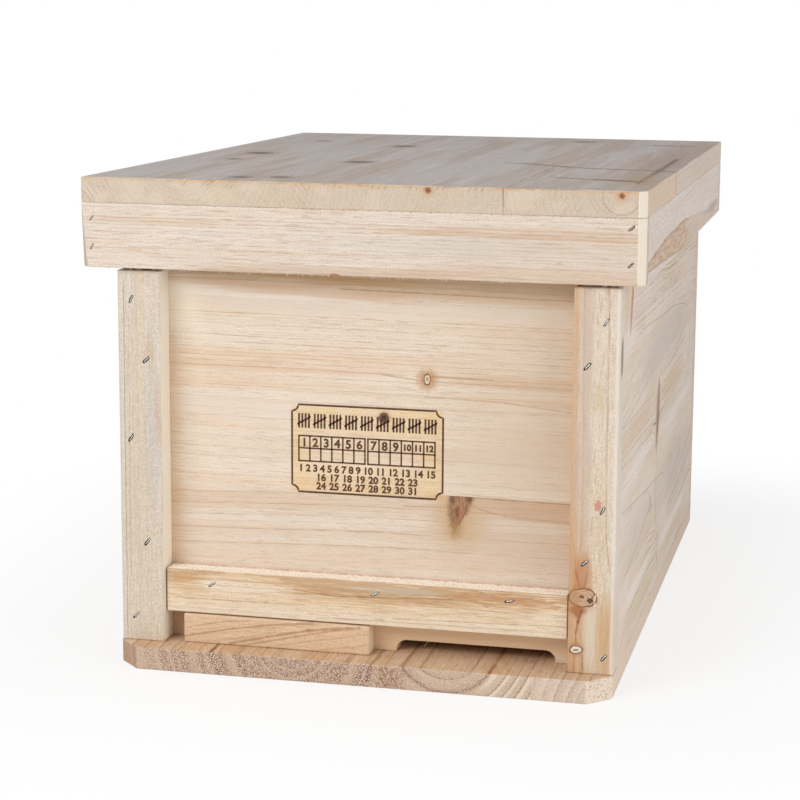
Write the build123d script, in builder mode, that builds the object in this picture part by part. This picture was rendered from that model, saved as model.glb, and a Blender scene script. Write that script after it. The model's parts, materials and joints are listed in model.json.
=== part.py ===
# Wooden beehive: a floor, a box with an entrance, hanging frames, a mesh inner cover and a lid.
# Millimetres. +Z is up, the entrance faces -Y, and the origin is on the ground under the box's middle.
import math
import os

from build123d import *

# Box
box_width = 335.0
box_depth = 480.0
wall_thickness = 20.0
inner_height = 270.0
front_lower_height = 108.5

# Floor, with a landing lip in front of the posts
floor_thickness = 15.5
landing_depth = 15.0
landing_corner_cut = 15.0
floor_right_width = 51.0
floor_middle_width = 101.0

# Corner posts on the front of the box
post_width = 30.0
post_thickness = 18.0
post_lid_gap = 2.0

# Entrance: a notch in the front wall, a block that slides in front of it and a rail over the block
notch_width = 107.0
notch_height = 8.0
notch_corner_radius = 7.0
notch_radius_limit = 0.95
notch_post_distance = 10.8
slider_length = 129.0
slider_height = 20.0
slider_thickness = 14.5
slider_post_distance = 12.8
slider_clearance = 0.5
rail_height = 29.8
rail_thickness = 14.5
rail_end_gap = 1.0
rail_slider_gap = 1.0

# Hanging frames, and the rabbets that their lugs rest in
frame_bar_width = 25.0
frame_bar_thickness = 10.0
bottom_bar_width = 20.0
comb_guide_depth = 10.0
frame_gap = 10.0
frame_end_space = 10.0
frame_top_space = 6.0
frame_bottom_space = 14.0
rabbet_depth = 10.0
lug_end_gap = 1.0

# Inner cover: four rails around a sheet of wire mesh
cover_thickness = 12.0
cover_rail_width = 30.0
mesh_wire = 1.2
mesh_cell = 22.0
mesh_groove_depth = 8.0
mesh_clearance = 0.2

# Lid: boards on a rim that goes over the box, with ledgers that rest on the inner cover
lid_side_clearance = 4.5
lid_side_offset = -3.5
lid_end_clearance = 8.5
lid_rim_thickness = 14.0
lid_rim_height = 42.5
lid_board_thickness = 16.8
lid_right_board_width = 90.0
lid_ledger_height = 14.5
lid_ledger_width = 20.0
lid_left_taper_cut = 3.4
lid_right_corner_cut = 4.7

# Wire staples
staple_crown = 6.0
staple_wire = 1.1
staple_leg = 30.0
staple_proud = 0.2
lid_staple_inset = 7.0

# Staple places on a post: share across its width from the left, share of its height, tilt in degrees
left_post_staples = [
    (0.33, 0.925, 65),
    (0.66, 0.765, 45),
    (0.28, 0.553, 58),
    (0.63, 0.273, 50),
    (0.35, 0.069, 40),
]
right_post_staples = [
    (0.69, 0.913, 55),
    (0.31, 0.8, 48),
    (0.7, 0.432, 60),
    (0.34, 0.293, 42),
    (0.79, 0.046, 52),
]
# Share of the rail's length from the left, share of its height, tilt
rail_staples = [(0.117, 0.68, 35), (0.53, 0.72, 30), (0.86, 0.77, 40)]
# Share of a lid rim's height, tilt
lid_left_staple_shares = [(0.76, 50), (0.32, 62)]
lid_right_staple_shares = [(0.85, 38), (0.31, 45)]
back_staple_shares = [0.08, 0.3, 0.52, 0.74, 0.92]
back_staple_tilt = 50

# Places worked out from the sizes above
box_left = -box_width / 2
box_right = box_width / 2
box_front = -box_depth / 2
box_back = box_depth / 2
inner_width = box_width - 2 * wall_thickness
inner_depth = box_depth - 2 * wall_thickness
inner_left = -inner_width / 2
inner_right = inner_width / 2
inner_front = -inner_depth / 2
inner_back = inner_depth / 2
floor_top = floor_thickness
wall_top = floor_top + inner_height
post_front = box_front - post_thickness
left_post_inner = box_left + post_width
right_post_inner = box_right - post_width

cover_top = wall_top + cover_thickness
lid_board_bottom = cover_top + lid_ledger_height
lid_top = lid_board_bottom + lid_board_thickness
lid_rim_bottom = lid_board_bottom - lid_rim_height
lid_inner_left = box_left - lid_side_clearance + lid_side_offset
lid_inner_right = box_right + lid_side_clearance + lid_side_offset
lid_inner_front = box_front - lid_end_clearance
lid_inner_back = box_back + lid_end_clearance
lid_left = lid_inner_left - lid_rim_thickness
lid_right = lid_inner_right + lid_rim_thickness
lid_front = lid_inner_front - lid_rim_thickness
lid_back = lid_inner_back + lid_rim_thickness
post_top = lid_rim_bottom - post_lid_gap

os.makedirs("parts", exist_ok=True)


def save(piece, name):
    """Label a finished piece and write it as its own STEP file."""
    piece.part.label = name
    export_step(piece.part, f"parts/{name}.step")


def board(name, x_span, y_span, z_span):
    """Write one square-edged board that fills the given spans."""
    with BuildPart() as plank:
        with BuildSketch(Plane.XY.offset(z_span[0])):
            with Locations((sum(x_span) / 2, sum(y_span) / 2)):
                Rectangle(x_span[1] - x_span[0], y_span[1] - y_span[0])
        extrude(amount=z_span[1] - z_span[0])
    save(plank, name)


def front_uprights(piece):
    """List a board's upright edges on its front face, from the left."""
    return piece.edges().filter_by(Axis.Z).group_by(Axis.Y)[0].sort_by(Axis.X)


def corner_cut_board(name, x_span, y_span, z_span, left_cut=None, right_cut=None):
    """Write a board whose front upright edges are cut off at the left, the right or both."""
    with BuildPart() as plank:
        with BuildSketch(Plane.XY.offset(z_span[0])):
            with Locations((sum(x_span) / 2, sum(y_span) / 2)):
                Rectangle(x_span[1] - x_span[0], y_span[1] - y_span[0])
        extrude(amount=z_span[1] - z_span[0])
        if left_cut:
            chamfer(front_uprights(plank)[0], left_cut)
        if right_cut:
            chamfer(front_uprights(plank)[-1], right_cut)
    save(plank, name)


def staple_plane(across, face_y, height, tilt, inward):
    """Give the plane that one staple lies in, driven through the face at face_y towards +Y or -Y."""
    turn = math.radians(tilt)
    along_crown = Vector(math.cos(turn), 0, math.sin(turn))
    into_wood = Vector(0, inward, 0)
    return Plane(
        origin=(across, face_y - inward * staple_proud, height),
        x_dir=along_crown,
        z_dir=along_crown.cross(into_wood),
    )


def staple_group(name, planes):
    """Write one U of wire on each plane, all in one node."""
    with BuildPart() as staples:
        with BuildSketch(*planes):
            with Locations((0, staple_leg / 2)):
                Rectangle(staple_crown, staple_leg)
            with Locations((0, staple_leg / 2 + staple_wire)):
                Rectangle(staple_crown - 2 * staple_wire, staple_leg, mode=Mode.SUBTRACT)
        extrude(amount=staple_wire / 2, both=True)
    save(staples, name)


# Floor: three boards edge to edge, with the landing's front corners cut off
floor_front = post_front - landing_depth
floor_right_joint = box_right - floor_right_width
floor_left_joint = floor_right_joint - floor_middle_width
floor_y = (floor_front, box_back)
floor_z = (0.0, floor_top)
floor_left_x = (box_left, floor_left_joint)
floor_right_x = (floor_right_joint, box_right)
corner_cut_board("floor_board_left", floor_left_x, floor_y, floor_z, left_cut=landing_corner_cut)
board("floor_board_middle", (floor_left_joint, floor_right_joint), floor_y, floor_z)
corner_cut_board("floor_board_right", floor_right_x, floor_y, floor_z, right_cut=landing_corner_cut)

# Side walls, standing on the floor and butting against the back wall
side_y = (box_front, inner_back)
wall_z = (floor_top, wall_top)
board("side_wall_left", (box_left, inner_left), side_y, wall_z)
board("side_wall_right", (inner_right, box_right), side_y, wall_z)

# Front wall, lower board: the entrance notch is cut up into its lower edge
front_joint = floor_top + front_lower_height
notch_right = right_post_inner - notch_post_distance
notch_middle = notch_right - notch_width / 2
with BuildPart() as front_wall_lower:
    with BuildSketch(Plane.XZ.offset(-box_front)):
        with Locations((0, (floor_top + front_joint) / 2)):
            Rectangle(inner_width, front_lower_height)
    extrude(amount=-wall_thickness)
    with BuildSketch(Plane.XZ.offset(-box_front)) as notch:
        with Locations((notch_middle, floor_top)):
            Rectangle(notch_width, 2 * notch_height)
        notch_top_corners = notch.vertices().group_by(Axis.Z)[-1]
        fillet(notch_top_corners, min(notch_corner_radius, notch_radius_limit * notch_height))
    extrude(amount=-wall_thickness, mode=Mode.SUBTRACT)
save(front_wall_lower, "front_wall_lower")

# Front wall, upper board: its inner top edge has the rabbet that the frames' lugs rest in
lug_thickness = frame_bar_thickness
rabbet_bottom = wall_top - frame_top_space - lug_thickness
rabbet_height = wall_top - rabbet_bottom
with BuildPart() as front_wall_upper:
    with BuildSketch(Plane.YZ):
        with Locations(((box_front + inner_front) / 2, (front_joint + wall_top) / 2)):
            Rectangle(wall_thickness, wall_top - front_joint)
        with Locations((inner_front - rabbet_depth / 2, wall_top - rabbet_height / 2)):
            Rectangle(rabbet_depth, rabbet_height, mode=Mode.SUBTRACT)
    extrude(amount=inner_width / 2, both=True)
save(front_wall_upper, "front_wall_upper")

# Back wall: it covers the side walls' ends, so its rabbet stops short at both sides
with BuildPart() as back_wall:
    with BuildSketch(Plane.YZ):
        with Locations(((inner_back + box_back) / 2, (floor_top + wall_top) / 2)):
            Rectangle(wall_thickness, inner_height)
    extrude(amount=box_width / 2, both=True)
    with BuildSketch(Plane.YZ):
        with Locations((inner_back + rabbet_depth / 2, wall_top - rabbet_height / 2)):
            Rectangle(rabbet_depth, rabbet_height)
    extrude(amount=inner_width / 2, both=True, mode=Mode.SUBTRACT)
save(back_wall, "back_wall")

# Corner posts, over the joints of the front wall and the side walls
post_y = (post_front, box_front)
post_z = (floor_top, post_top)
board("corner_post_left", (box_left, left_post_inner), post_y, post_z)
board("corner_post_right", (right_post_inner, box_right), post_y, post_z)

# Entrance slider, on the floor between the posts, and the rail that keeps it upright
slider_left = left_post_inner + slider_post_distance
slider_back = box_front - slider_clearance
slider_top = floor_top + slider_height
board(
    "entrance_slider",
    (slider_left, slider_left + slider_length),
    (slider_back - slider_thickness, slider_back),
    (floor_top, slider_top),
)
rail_left = left_post_inner + rail_end_gap
rail_right = right_post_inner - rail_end_gap
rail_front = box_front - rail_thickness
rail_bottom = slider_top + rail_slider_gap
rail_z = (rail_bottom, rail_bottom + rail_height)
board("entrance_rail", (rail_left, rail_right), (rail_front, box_front), rail_z)

# Staples in the posts, the rail and the back wall
post_height = post_top - floor_top
wall_middle = wall_thickness / 2
body_planes = []
for share_across, share_up, tilt in left_post_staples:
    across = box_left + share_across * post_width
    body_planes.append(staple_plane(across, post_front, floor_top + share_up * post_height, tilt, 1))
for share_across, share_up, tilt in right_post_staples:
    across = right_post_inner + share_across * post_width
    body_planes.append(staple_plane(across, post_front, floor_top + share_up * post_height, tilt, 1))
for share_along, share_up, tilt in rail_staples:
    across = rail_left + share_along * (rail_right - rail_left)
    body_planes.append(staple_plane(across, rail_front, rail_bottom + share_up * rail_height, tilt, 1))
for share_up in back_staple_shares:
    for across in (box_left + wall_middle, box_right - wall_middle):
        height = floor_top + share_up * inner_height
        body_planes.append(staple_plane(across, box_back, height, back_staple_tilt, -1))
staple_group("body_staples", body_planes)

# Inner cover: two long rails, two cross rails between them and the mesh held in grooves of all four
cover_inner_right = box_right - cover_rail_width
cover_inner_back = box_back - cover_rail_width
mesh_width = 2 * (cover_inner_right + mesh_groove_depth)
mesh_depth = 2 * (cover_inner_back + mesh_groove_depth)
mesh_middle_z = wall_top + cover_thickness / 2
groove_height = mesh_wire + 2 * mesh_clearance


def cover_rail(name, x_span, y_span):
    """Write one rail of the inner cover, with the groove that holds the mesh's edge."""
    with BuildPart() as rail:
        with BuildSketch(Plane.XY.offset(wall_top)):
            with Locations((sum(x_span) / 2, sum(y_span) / 2)):
                Rectangle(x_span[1] - x_span[0], y_span[1] - y_span[0])
        extrude(amount=cover_thickness)
        with BuildSketch(Plane.XY.offset(mesh_middle_z - groove_height / 2)):
            Rectangle(mesh_width + 2 * mesh_clearance, mesh_depth + 2 * mesh_clearance)
        extrude(amount=groove_height, mode=Mode.SUBTRACT)
    save(rail, name)


cover_inner_x = (-cover_inner_right, cover_inner_right)
cover_rail("inner_cover_rail_left", (box_left, -cover_inner_right), (box_front, box_back))
cover_rail("inner_cover_rail_right", (cover_inner_right, box_right), (box_front, box_back))
cover_rail("inner_cover_rail_front", cover_inner_x, (box_front, -cover_inner_back))
cover_rail("inner_cover_rail_back", cover_inner_x, (cover_inner_back, box_back))

# Wire mesh: a net of square gaps between wires
mesh_columns = round(mesh_width / mesh_cell)
mesh_rows = round(mesh_depth / mesh_cell)
column_pitch = (mesh_width - mesh_wire) / mesh_columns
row_pitch = (mesh_depth - mesh_wire) / mesh_rows
with BuildPart() as inner_cover_mesh:
    with BuildSketch(Plane.XY.offset(mesh_middle_z - mesh_wire / 2)):
        Rectangle(mesh_width, mesh_depth)
        with GridLocations(column_pitch, row_pitch, mesh_columns, mesh_rows):
            Rectangle(column_pitch - mesh_wire, row_pitch - mesh_wire, mode=Mode.SUBTRACT)
    extrude(amount=mesh_wire)
save(inner_cover_mesh, "inner_cover_mesh")

# Lid boards, edge to edge on the rim
lid_joint = lid_right - lid_right_board_width
lid_y = (lid_front, lid_back)
lid_board_z = (lid_board_bottom, lid_top)
board("lid_board_left", (lid_left, lid_joint), lid_y, lid_board_z)
lid_right_x = (lid_joint, lid_right)
corner_cut_board("lid_board_right", lid_right_x, lid_y, lid_board_z, right_cut=lid_right_corner_cut)

# Lid rim: the front and back rims run over the ends of the side rims
rim_z = (lid_rim_bottom, lid_board_bottom)
rim_inner_y = (lid_inner_front, lid_inner_back)
with BuildPart() as lid_rim_front:
    with BuildSketch(Plane.XY.offset(lid_rim_bottom)):
        with Locations(((lid_left + lid_right) / 2, (lid_front + lid_inner_front) / 2)):
            Rectangle(lid_right - lid_left, lid_rim_thickness)
    extrude(amount=lid_rim_height)
    chamfer(front_uprights(lid_rim_front)[-1], lid_right_corner_cut)
    # The left end's front edge is sawn off at a slant, from nothing at the top
    slant_top = Vector(lid_left, lid_front, lid_board_bottom)
    slant_across = Vector(lid_left + lid_left_taper_cut, lid_front, lid_rim_bottom) - slant_top
    slant_back = Vector(lid_left, lid_front + lid_left_taper_cut, lid_rim_bottom) - slant_top
    slant = Plane(origin=slant_top, x_dir=slant_across, z_dir=slant_back.cross(slant_across))
    split(bisect_by=slant, keep=Keep.BOTTOM)
save(lid_rim_front, "lid_rim_front")
board("lid_rim_back", (lid_left, lid_right), (lid_inner_back, lid_back), rim_z)
board("lid_rim_left", (lid_left, lid_inner_left), rim_inner_y, rim_z)
board("lid_rim_right", (lid_inner_right, lid_right), rim_inner_y, rim_z)

# Lid ledgers: strips inside the side rims that sit on the inner cover's long rails
ledger_z = (cover_top, lid_board_bottom)
board("lid_ledger_left", (lid_inner_left, lid_inner_left + lid_ledger_width), rim_inner_y, ledger_z)
board("lid_ledger_right", (lid_inner_right - lid_ledger_width, lid_inner_right), rim_inner_y, ledger_z)

# Staples through the front and back rims into the side rims' ends
lid_planes = []
for places, across in (
    (lid_left_staple_shares, lid_left + lid_staple_inset),
    (lid_right_staple_shares, lid_right - lid_staple_inset - lid_right_corner_cut / 2),
):
    for share_up, tilt in places:
        height = lid_rim_bottom + share_up * lid_rim_height
        lid_planes.append(staple_plane(across, lid_front, height, tilt, 1))
        lid_planes.append(staple_plane(across, lid_back, height, tilt, -1))
staple_group("lid_staples", lid_planes)

# Hanging frames, spread evenly across the box and numbered from the left
frame_pitch = frame_bar_width + frame_gap
frame_count = int((inner_width - frame_gap) // frame_pitch)
frame_top = wall_top - frame_top_space
frame_bottom = floor_top + frame_bottom_space
frame_back = inner_back - frame_end_space
window_back = frame_back - frame_bar_thickness
lug_back = inner_back + rabbet_depth - lug_end_gap
bottom_bar_top = frame_bottom + frame_bar_thickness


def hanging_frame(number, middle_x):
    """Write one frame: a top bar with lugs and a comb guide, two end bars and a bottom bar."""
    bar_x = (middle_x - frame_bar_width / 2, middle_x + frame_bar_width / 2)
    with BuildPart() as top_bar:
        with BuildSketch(Plane.YZ.offset(bar_x[0])):
            with Locations((0, frame_top - lug_thickness / 2)):
                Rectangle(2 * lug_back, lug_thickness)
            with Locations((0, rabbet_bottom - comb_guide_depth / 2)):
                Rectangle(2 * window_back, comb_guide_depth)
        extrude(amount=frame_bar_width)
    save(top_bar, f"frame_{number}_top_bar")
    end_z = (bottom_bar_top, rabbet_bottom)
    board(f"frame_{number}_end_bar_front", bar_x, (-frame_back, -window_back), end_z)
    board(f"frame_{number}_end_bar_back", bar_x, (window_back, frame_back), end_z)
    bottom_x = (middle_x - bottom_bar_width / 2, middle_x + bottom_bar_width / 2)
    bottom_z = (frame_bottom, bottom_bar_top)
    board(f"frame_{number}_bottom_bar", bottom_x, (-frame_back, frame_back), bottom_z)


for index in range(frame_count):
    hanging_frame(index + 1, (index - (frame_count - 1) / 2) * frame_pitch)
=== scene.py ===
# %% [markdown]
# # A wooden beehive
# This lesson dresses a finished model of a small wooden hive. The model gives every board its size and
# place. What it lacks is what makes wood look like wood: growth rings that run through the board, eased
# edges, knots, stains, torn holes round the staples and loose fibres on sawn edges. We load the model
# first, and keep its box.

# %% Load the model
import json
import math
import random

import bmesh
import bpy
from mathutils import Matrix, Vector, noise

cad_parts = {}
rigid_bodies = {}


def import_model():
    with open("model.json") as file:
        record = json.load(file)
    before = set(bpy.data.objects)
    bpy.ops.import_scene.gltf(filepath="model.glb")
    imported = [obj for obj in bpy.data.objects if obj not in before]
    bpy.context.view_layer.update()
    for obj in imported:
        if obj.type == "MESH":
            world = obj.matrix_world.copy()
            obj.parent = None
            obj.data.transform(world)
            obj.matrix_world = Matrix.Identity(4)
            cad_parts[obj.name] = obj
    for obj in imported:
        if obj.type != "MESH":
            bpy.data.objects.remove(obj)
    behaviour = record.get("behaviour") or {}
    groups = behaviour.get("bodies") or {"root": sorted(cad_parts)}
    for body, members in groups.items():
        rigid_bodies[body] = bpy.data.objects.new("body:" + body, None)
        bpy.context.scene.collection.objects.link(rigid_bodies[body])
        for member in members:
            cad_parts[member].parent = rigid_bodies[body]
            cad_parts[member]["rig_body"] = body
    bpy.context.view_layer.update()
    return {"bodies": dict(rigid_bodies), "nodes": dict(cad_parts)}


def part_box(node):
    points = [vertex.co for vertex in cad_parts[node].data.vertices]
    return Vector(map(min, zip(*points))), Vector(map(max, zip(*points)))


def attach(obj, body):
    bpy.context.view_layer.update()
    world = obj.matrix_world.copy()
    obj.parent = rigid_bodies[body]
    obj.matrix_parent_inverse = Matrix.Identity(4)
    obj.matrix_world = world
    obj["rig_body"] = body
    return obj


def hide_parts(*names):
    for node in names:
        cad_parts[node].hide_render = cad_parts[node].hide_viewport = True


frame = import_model()
MM = 0.001

# %% [markdown]
# ## The camera
# A camera is set by its place, the way it looks and its lens. These were worked out from the straight
# edges of the hive in the photograph: they agree on one place in front of the entrance, a little to the
# right and above. A long lens keeps the box from looking pinched. The small shift stands for a picture
# that was cropped off centre.

# %% Place the camera
CAMERA_PLACE = Vector((335.5, -1556.5, 439.0)) * MM
CAMERA_YAW = math.radians(12.636)
CAMERA_PITCH = math.radians(9.659)
CAMERA_ROLL = math.radians(0.47)
FOCAL_PIXELS = 2102.9
PICTURE_PIXELS = 800
OFF_CENTRE = (29.2, -33.5)
SENSOR = 36.0

flat = math.cos(CAMERA_PITCH)
forward = Vector((-math.sin(CAMERA_YAW) * flat, math.cos(CAMERA_YAW) * flat, -math.sin(CAMERA_PITCH)))
level_right = Vector((math.cos(CAMERA_YAW), math.sin(CAMERA_YAW), 0))
level_up = level_right.cross(forward)
right = math.cos(CAMERA_ROLL) * level_right + math.sin(CAMERA_ROLL) * level_up
up = math.cos(CAMERA_ROLL) * level_up - math.sin(CAMERA_ROLL) * level_right
camera_data = bpy.data.cameras.new("camera")
camera_data.sensor_width = SENSOR
camera_data.lens = FOCAL_PIXELS / PICTURE_PIXELS * SENSOR
camera_data.shift_x = -OFF_CENTRE[0] / PICTURE_PIXELS
camera_data.shift_y = OFF_CENTRE[1] / PICTURE_PIXELS
camera = bpy.data.objects.new("camera", camera_data)
camera.matrix_world = Matrix.Translation(CAMERA_PLACE) @ Matrix((right, up, -forward)).transposed().to_4x4()
bpy.context.scene.collection.objects.link(camera)
bpy.context.scene.camera = camera
bpy.context.scene.view_settings.view_transform = "Standard"
print("lens:", round(camera_data.lens, 1), "mm")

# %% [markdown]
# ## Writing materials as sums
# A material is a web of nodes. Drawing one by hand is fine for ten nodes, but wood takes a hundred, so
# we write it as arithmetic. A Wire is a value on its way through the web: adding or multiplying wires
# adds Math nodes. A Finish is a material in the making, with one method that adds any other node: its
# settings go in first, then its inputs.

# %% Wires and finishes
class Wire:
    """A value, colour or vector on its way through a material."""

    def __init__(self, finish, socket):
        self.finish = finish
        self.socket = socket

    def math(self, operation, *others):
        return self.finish.sum(operation, self, *others)

    def other(self, name):
        """Give another output of the node that this one came from."""
        return Wire(self.finish, self.socket.node.outputs[name])

    def __add__(self, value):
        return self.math("ADD", value)

    def __radd__(self, value):
        return self.math("ADD", value)

    def __sub__(self, value):
        return self.math("SUBTRACT", value)

    def __rsub__(self, value):
        return self.finish.sum("SUBTRACT", value, self)

    def __mul__(self, value):
        return self.math("MULTIPLY", value)

    def __rmul__(self, value):
        return self.math("MULTIPLY", value)

    def __truediv__(self, value):
        return self.math("DIVIDE", value)

    def __abs__(self):
        return self.math("ABSOLUTE")

    def rise(self, low, high):
        """Go smoothly from 0 at low to 1 at high, or fall where low is the larger."""
        settings = {"interpolation_type": "SMOOTHSTEP"}
        start, stop = (0.0, 1.0) if low < high else (1.0, 0.0)
        inputs = {0: self, 1: min(low, high), 2: max(low, high), 3: start, 4: stop}
        return self.finish.node("ShaderNodeMapRange", settings, inputs)

    def between(self, low, high, soft):
        """Be 1 between two values, with soft ends."""
        return self.rise(low - soft, low + soft) * self.rise(high + soft, high - soft)


class Finish:
    """A material in the making."""

    def __init__(self, name):
        self.material = bpy.data.materials.new(name)
        self.material.use_nodes = True
        self.tree = self.material.node_tree
        self.shader = self.tree.nodes["Principled BSDF"]

    def node(self, kind, settings=None, inputs=None, output=0):
        """Add a node: its settings first, then the values or links of its sockets."""
        made = self.tree.nodes.new(kind)
        for key, value in (settings or {}).items():
            if key == "stops":
                while len(made.color_ramp.elements) < len(value):
                    made.color_ramp.elements.new(1.0)
                for element, (position, level) in zip(made.color_ramp.elements, value):
                    element.position = position
                    element.color = (level, level, level, 1.0)
            else:
                setattr(made, key, value)
        for key, value in (inputs or {}).items():
            if isinstance(value, Wire):
                self.tree.links.new(value.socket, made.inputs[key])
            else:
                made.inputs[key].default_value = value
        return Wire(self, made.outputs[output])

    def sum(self, operation, *values):
        return self.node("ShaderNodeMath", {"operation": operation}, dict(enumerate(values)))

    def vector(self, operation, *values):
        return self.node("ShaderNodeVectorMath", {"operation": operation}, dict(enumerate(values)))

    def mix(self, share, first, second, blend="MIX"):
        """Blend two colours."""
        settings = {"data_type": "RGBA", "blend_type": blend}
        return self.node("ShaderNodeMix", settings, {0: share, 6: first, 7: second}, 2)

    def feed(self, socket, value):
        """Set or link one of the shader's own sockets."""
        if isinstance(value, Wire):
            self.tree.links.new(value.socket, self.shader.inputs[socket])
        else:
            self.shader.inputs[socket].default_value = value

    def bump(self, height, distance, strength):
        """Let a height in the material roughen the surface."""
        inputs = {"Height": height, "Distance": distance, "Strength": strength}
        self.feed("Normal", self.node("ShaderNodeBump", {}, inputs, "Normal"))


def tone(red, green, blue):
    """Turn a colour as a screen shows it into the linear values that Blender works in."""
    def linear(level):
        share = level / 255
        return share / 12.92 if share <= 0.04045 else ((share + 0.055) / 1.055) ** 2.4
    return (linear(red), linear(green), linear(blue), 1.0)


print("tools: Wire, Finish, tone")

# %% [markdown]
# ## The studio
# The hive stands on a plain white floor in soft light: one large lamp at the front left, one at the
# right, one above and an even sky. The camera sees the sky and most of the floor as plain white. That
# white is for the camera alone, so it puts no more light on the hive, and part of the floor's own shade
# still shows under it.

# %% Floor, sky and lamps
FLOOR_SIZE = 30.0
FLOOR_GLOW = 0.75
SHADOW_REACH = 0.3
SKY_LIGHT = 0.42
SKY_SHOWN = 1.0
WHITE = (1.0, 1.0, 1.0, 1.0)

floor_mesh = bpy.data.meshes.new("studio_floor")
half_floor = FLOOR_SIZE / 2
corners = [(x * half_floor, y * half_floor, 0) for x, y in ((-1, -1), (1, -1), (1, 1), (-1, 1))]
floor_mesh.from_pydata(corners, [], [(0, 1, 2, 3)])
floor = bpy.data.objects.new("studio_floor", floor_mesh)
bpy.context.scene.collection.objects.link(floor)

paper = Finish("studio_paper")
seen = paper.node("ShaderNodeLightPath", output="Is Camera Ray")
seen = seen.math("MAXIMUM", seen.other("Is Glossy Ray")).math("MAXIMUM", seen.other("Is Transmission Ray"))
speck = paper.node("ShaderNodeTexNoise", {}, {"Scale": 3.0, "Detail": 2.0})
paper.feed("Base Color", paper.mix(speck, tone(250, 250, 250), tone(255, 255, 255)))
paper.feed("Roughness", 0.9)
foot_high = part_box("floor_board_right")[1]
spot = paper.node("ShaderNodeSeparateXYZ", {}, {0: paper.node("ShaderNodeTexCoord", output="Object")})
off_side = (abs(spot) - foot_high.x).math("MAXIMUM", 0.0)
off_front = (abs(spot.other("Y")) - foot_high.y).math("MAXIMUM", 0.0)
away = (off_side * off_side + off_front * off_front).math("SQRT")
share = away.rise(0.0, SHADOW_REACH) * (1 - FLOOR_GLOW) + FLOOR_GLOW
glow = paper.node("ShaderNodeEmission", {}, {"Strength": 1.0})
lit = Wire(paper, paper.shader.outputs[0])
shown = paper.node("ShaderNodeMixShader", {}, {0: seen * share, 1: lit, 2: glow})
paper.tree.links.new(shown.socket, paper.tree.nodes["Material Output"].inputs["Surface"])
floor_mesh.materials.append(paper.material)

sky = bpy.data.worlds.new("studio_sky")
sky.use_nodes = True
bpy.context.scene.world = sky
sky_nodes = sky.node_tree.nodes
sky_path = sky_nodes.new("ShaderNodeLightPath")
sky_level = sky_nodes.new("ShaderNodeMapRange")
sky_level.inputs[3].default_value = SKY_LIGHT
sky_level.inputs[4].default_value = SKY_SHOWN
sky_seen = sky_nodes.new("ShaderNodeMath")
sky_seen.operation = "MAXIMUM"
sky_nodes["Background"].inputs["Color"].default_value = WHITE
for start, stop in (
    (sky_path.outputs["Is Camera Ray"], sky_seen.inputs[0]),
    (sky_path.outputs["Is Glossy Ray"], sky_seen.inputs[1]),
    (sky_seen.outputs[0], sky_level.inputs[0]),
    (sky_level.outputs[0], sky_nodes["Background"].inputs["Strength"]),
):
    sky.node_tree.links.new(start, stop)


def soft_lamp(name, place, aim, width, height, power):
    """Hang a large flat lamp that looks at a point."""
    data = bpy.data.lights.new(name, "AREA")
    data.shape = "RECTANGLE"
    data.size = width
    data.size_y = height
    data.energy = power
    lamp = bpy.data.objects.new(name, data)
    lamp.location = place
    lamp.rotation_euler = (Vector(aim) - Vector(place)).to_track_quat("-Z", "Y").to_euler()
    bpy.context.scene.collection.objects.link(lamp)


soft_lamp("front_lamp", (-1.1, -1.9, 1.5), (0, -0.2, 0.15), 1.4, 1.0, 25)
soft_lamp("right_lamp", (2.6, -1.4, 1.2), (0, 0, 0.15), 1.6, 1.6, 19)
soft_lamp("top_lamp", (0, -0.6, 2.6), (0, 0, 0.2), 2.4, 2.0, 8)
print("studio: floor, sky and three lamps")

# %% [markdown]
# ## Wood from the inside
# A picture of wood pasted on a box gives itself away at the corners, because the lines on one face
# don't run on over the edge. So the wood is made solid. A tree's rings are distances from its heart,
# the pith. Each board is given a pith and a grain direction in millimetres. Every face then cuts
# through the same rings: long lines on a side, arcs on an end. Each ring goes from pale early wood to a
# thin dark line of late wood, and no two are as dark. Fine fibres, long strokes and slow changes of
# colour go over that. Knots push the rings apart.

# %% The recipe for wood
BEND_REACH = 2.2
BEND_LONGER = 1.6
BEND_SHARE = 0.8
END_FROM = 0.5
END_TO = 0.8
FACING_FROM = 0.8
FACING_TO = 0.95
LINE_PROFILE = [(0.0, 0.05), (0.02, 0.0), (0.7, 0.0), (0.84, 0.3), (0.9, 1.0), (0.97, 1.0), (1.0, 0.05)]
BAND_PROFILE = [(0.0, 0.55), (0.06, 0.0), (0.2, 0.05), (0.4, 0.7), (0.92, 1.0), (1.0, 0.55)]
LINES_FROM = -130.0
LINES_FADE = 12.0
SWATH_FADE = 30.0
YEAR_PACE = 0.4
FIBRE_WOBBLE = 0.12
FIBRE_CELL = (26.0, 1.0)
DRIFT_CELL = (300.0, 70.0)
CALM_CELL = (150.0, 26.0)
WARM_CELL = (190.0, 13.0)
BROKEN_CELL = (20.0, 4.0)
GAP_CELL = (13.0, 1.6)
WOBBLE_CELL = (60.0, 9.0)
BLEED_CELL = (30.0, 3.0)
SPLIT_CELL = (50.0, 1.5)
PATCH_CELL = 16.0
MOTTLE_CELL = 34.0
MOTTLE_SHARE = 0.1
SPECKLE_CELL = 0.8
SCRATCH_CELL = 6.0
DASH_FROM = 0.6
DASH_TO = 0.66
DASH_WIDTH = 0.9
PALE_DASH_WIDTH = 1.0
PALE_DASH_LONGER = 1.4
KNOT_CELL = 3.5
KNOT_FINE_CELL = 0.9
KNOT_RING_CELL = 2.6
KNOT_RINGS = 21.0
KNOT_WAVER = 7.0
RELIEF_DEPTH = 0.3 * MM


def paler(colour, share):
    """A colour part of the way to white."""
    return tuple(level + (1 - level) * share for level in colour)


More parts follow.
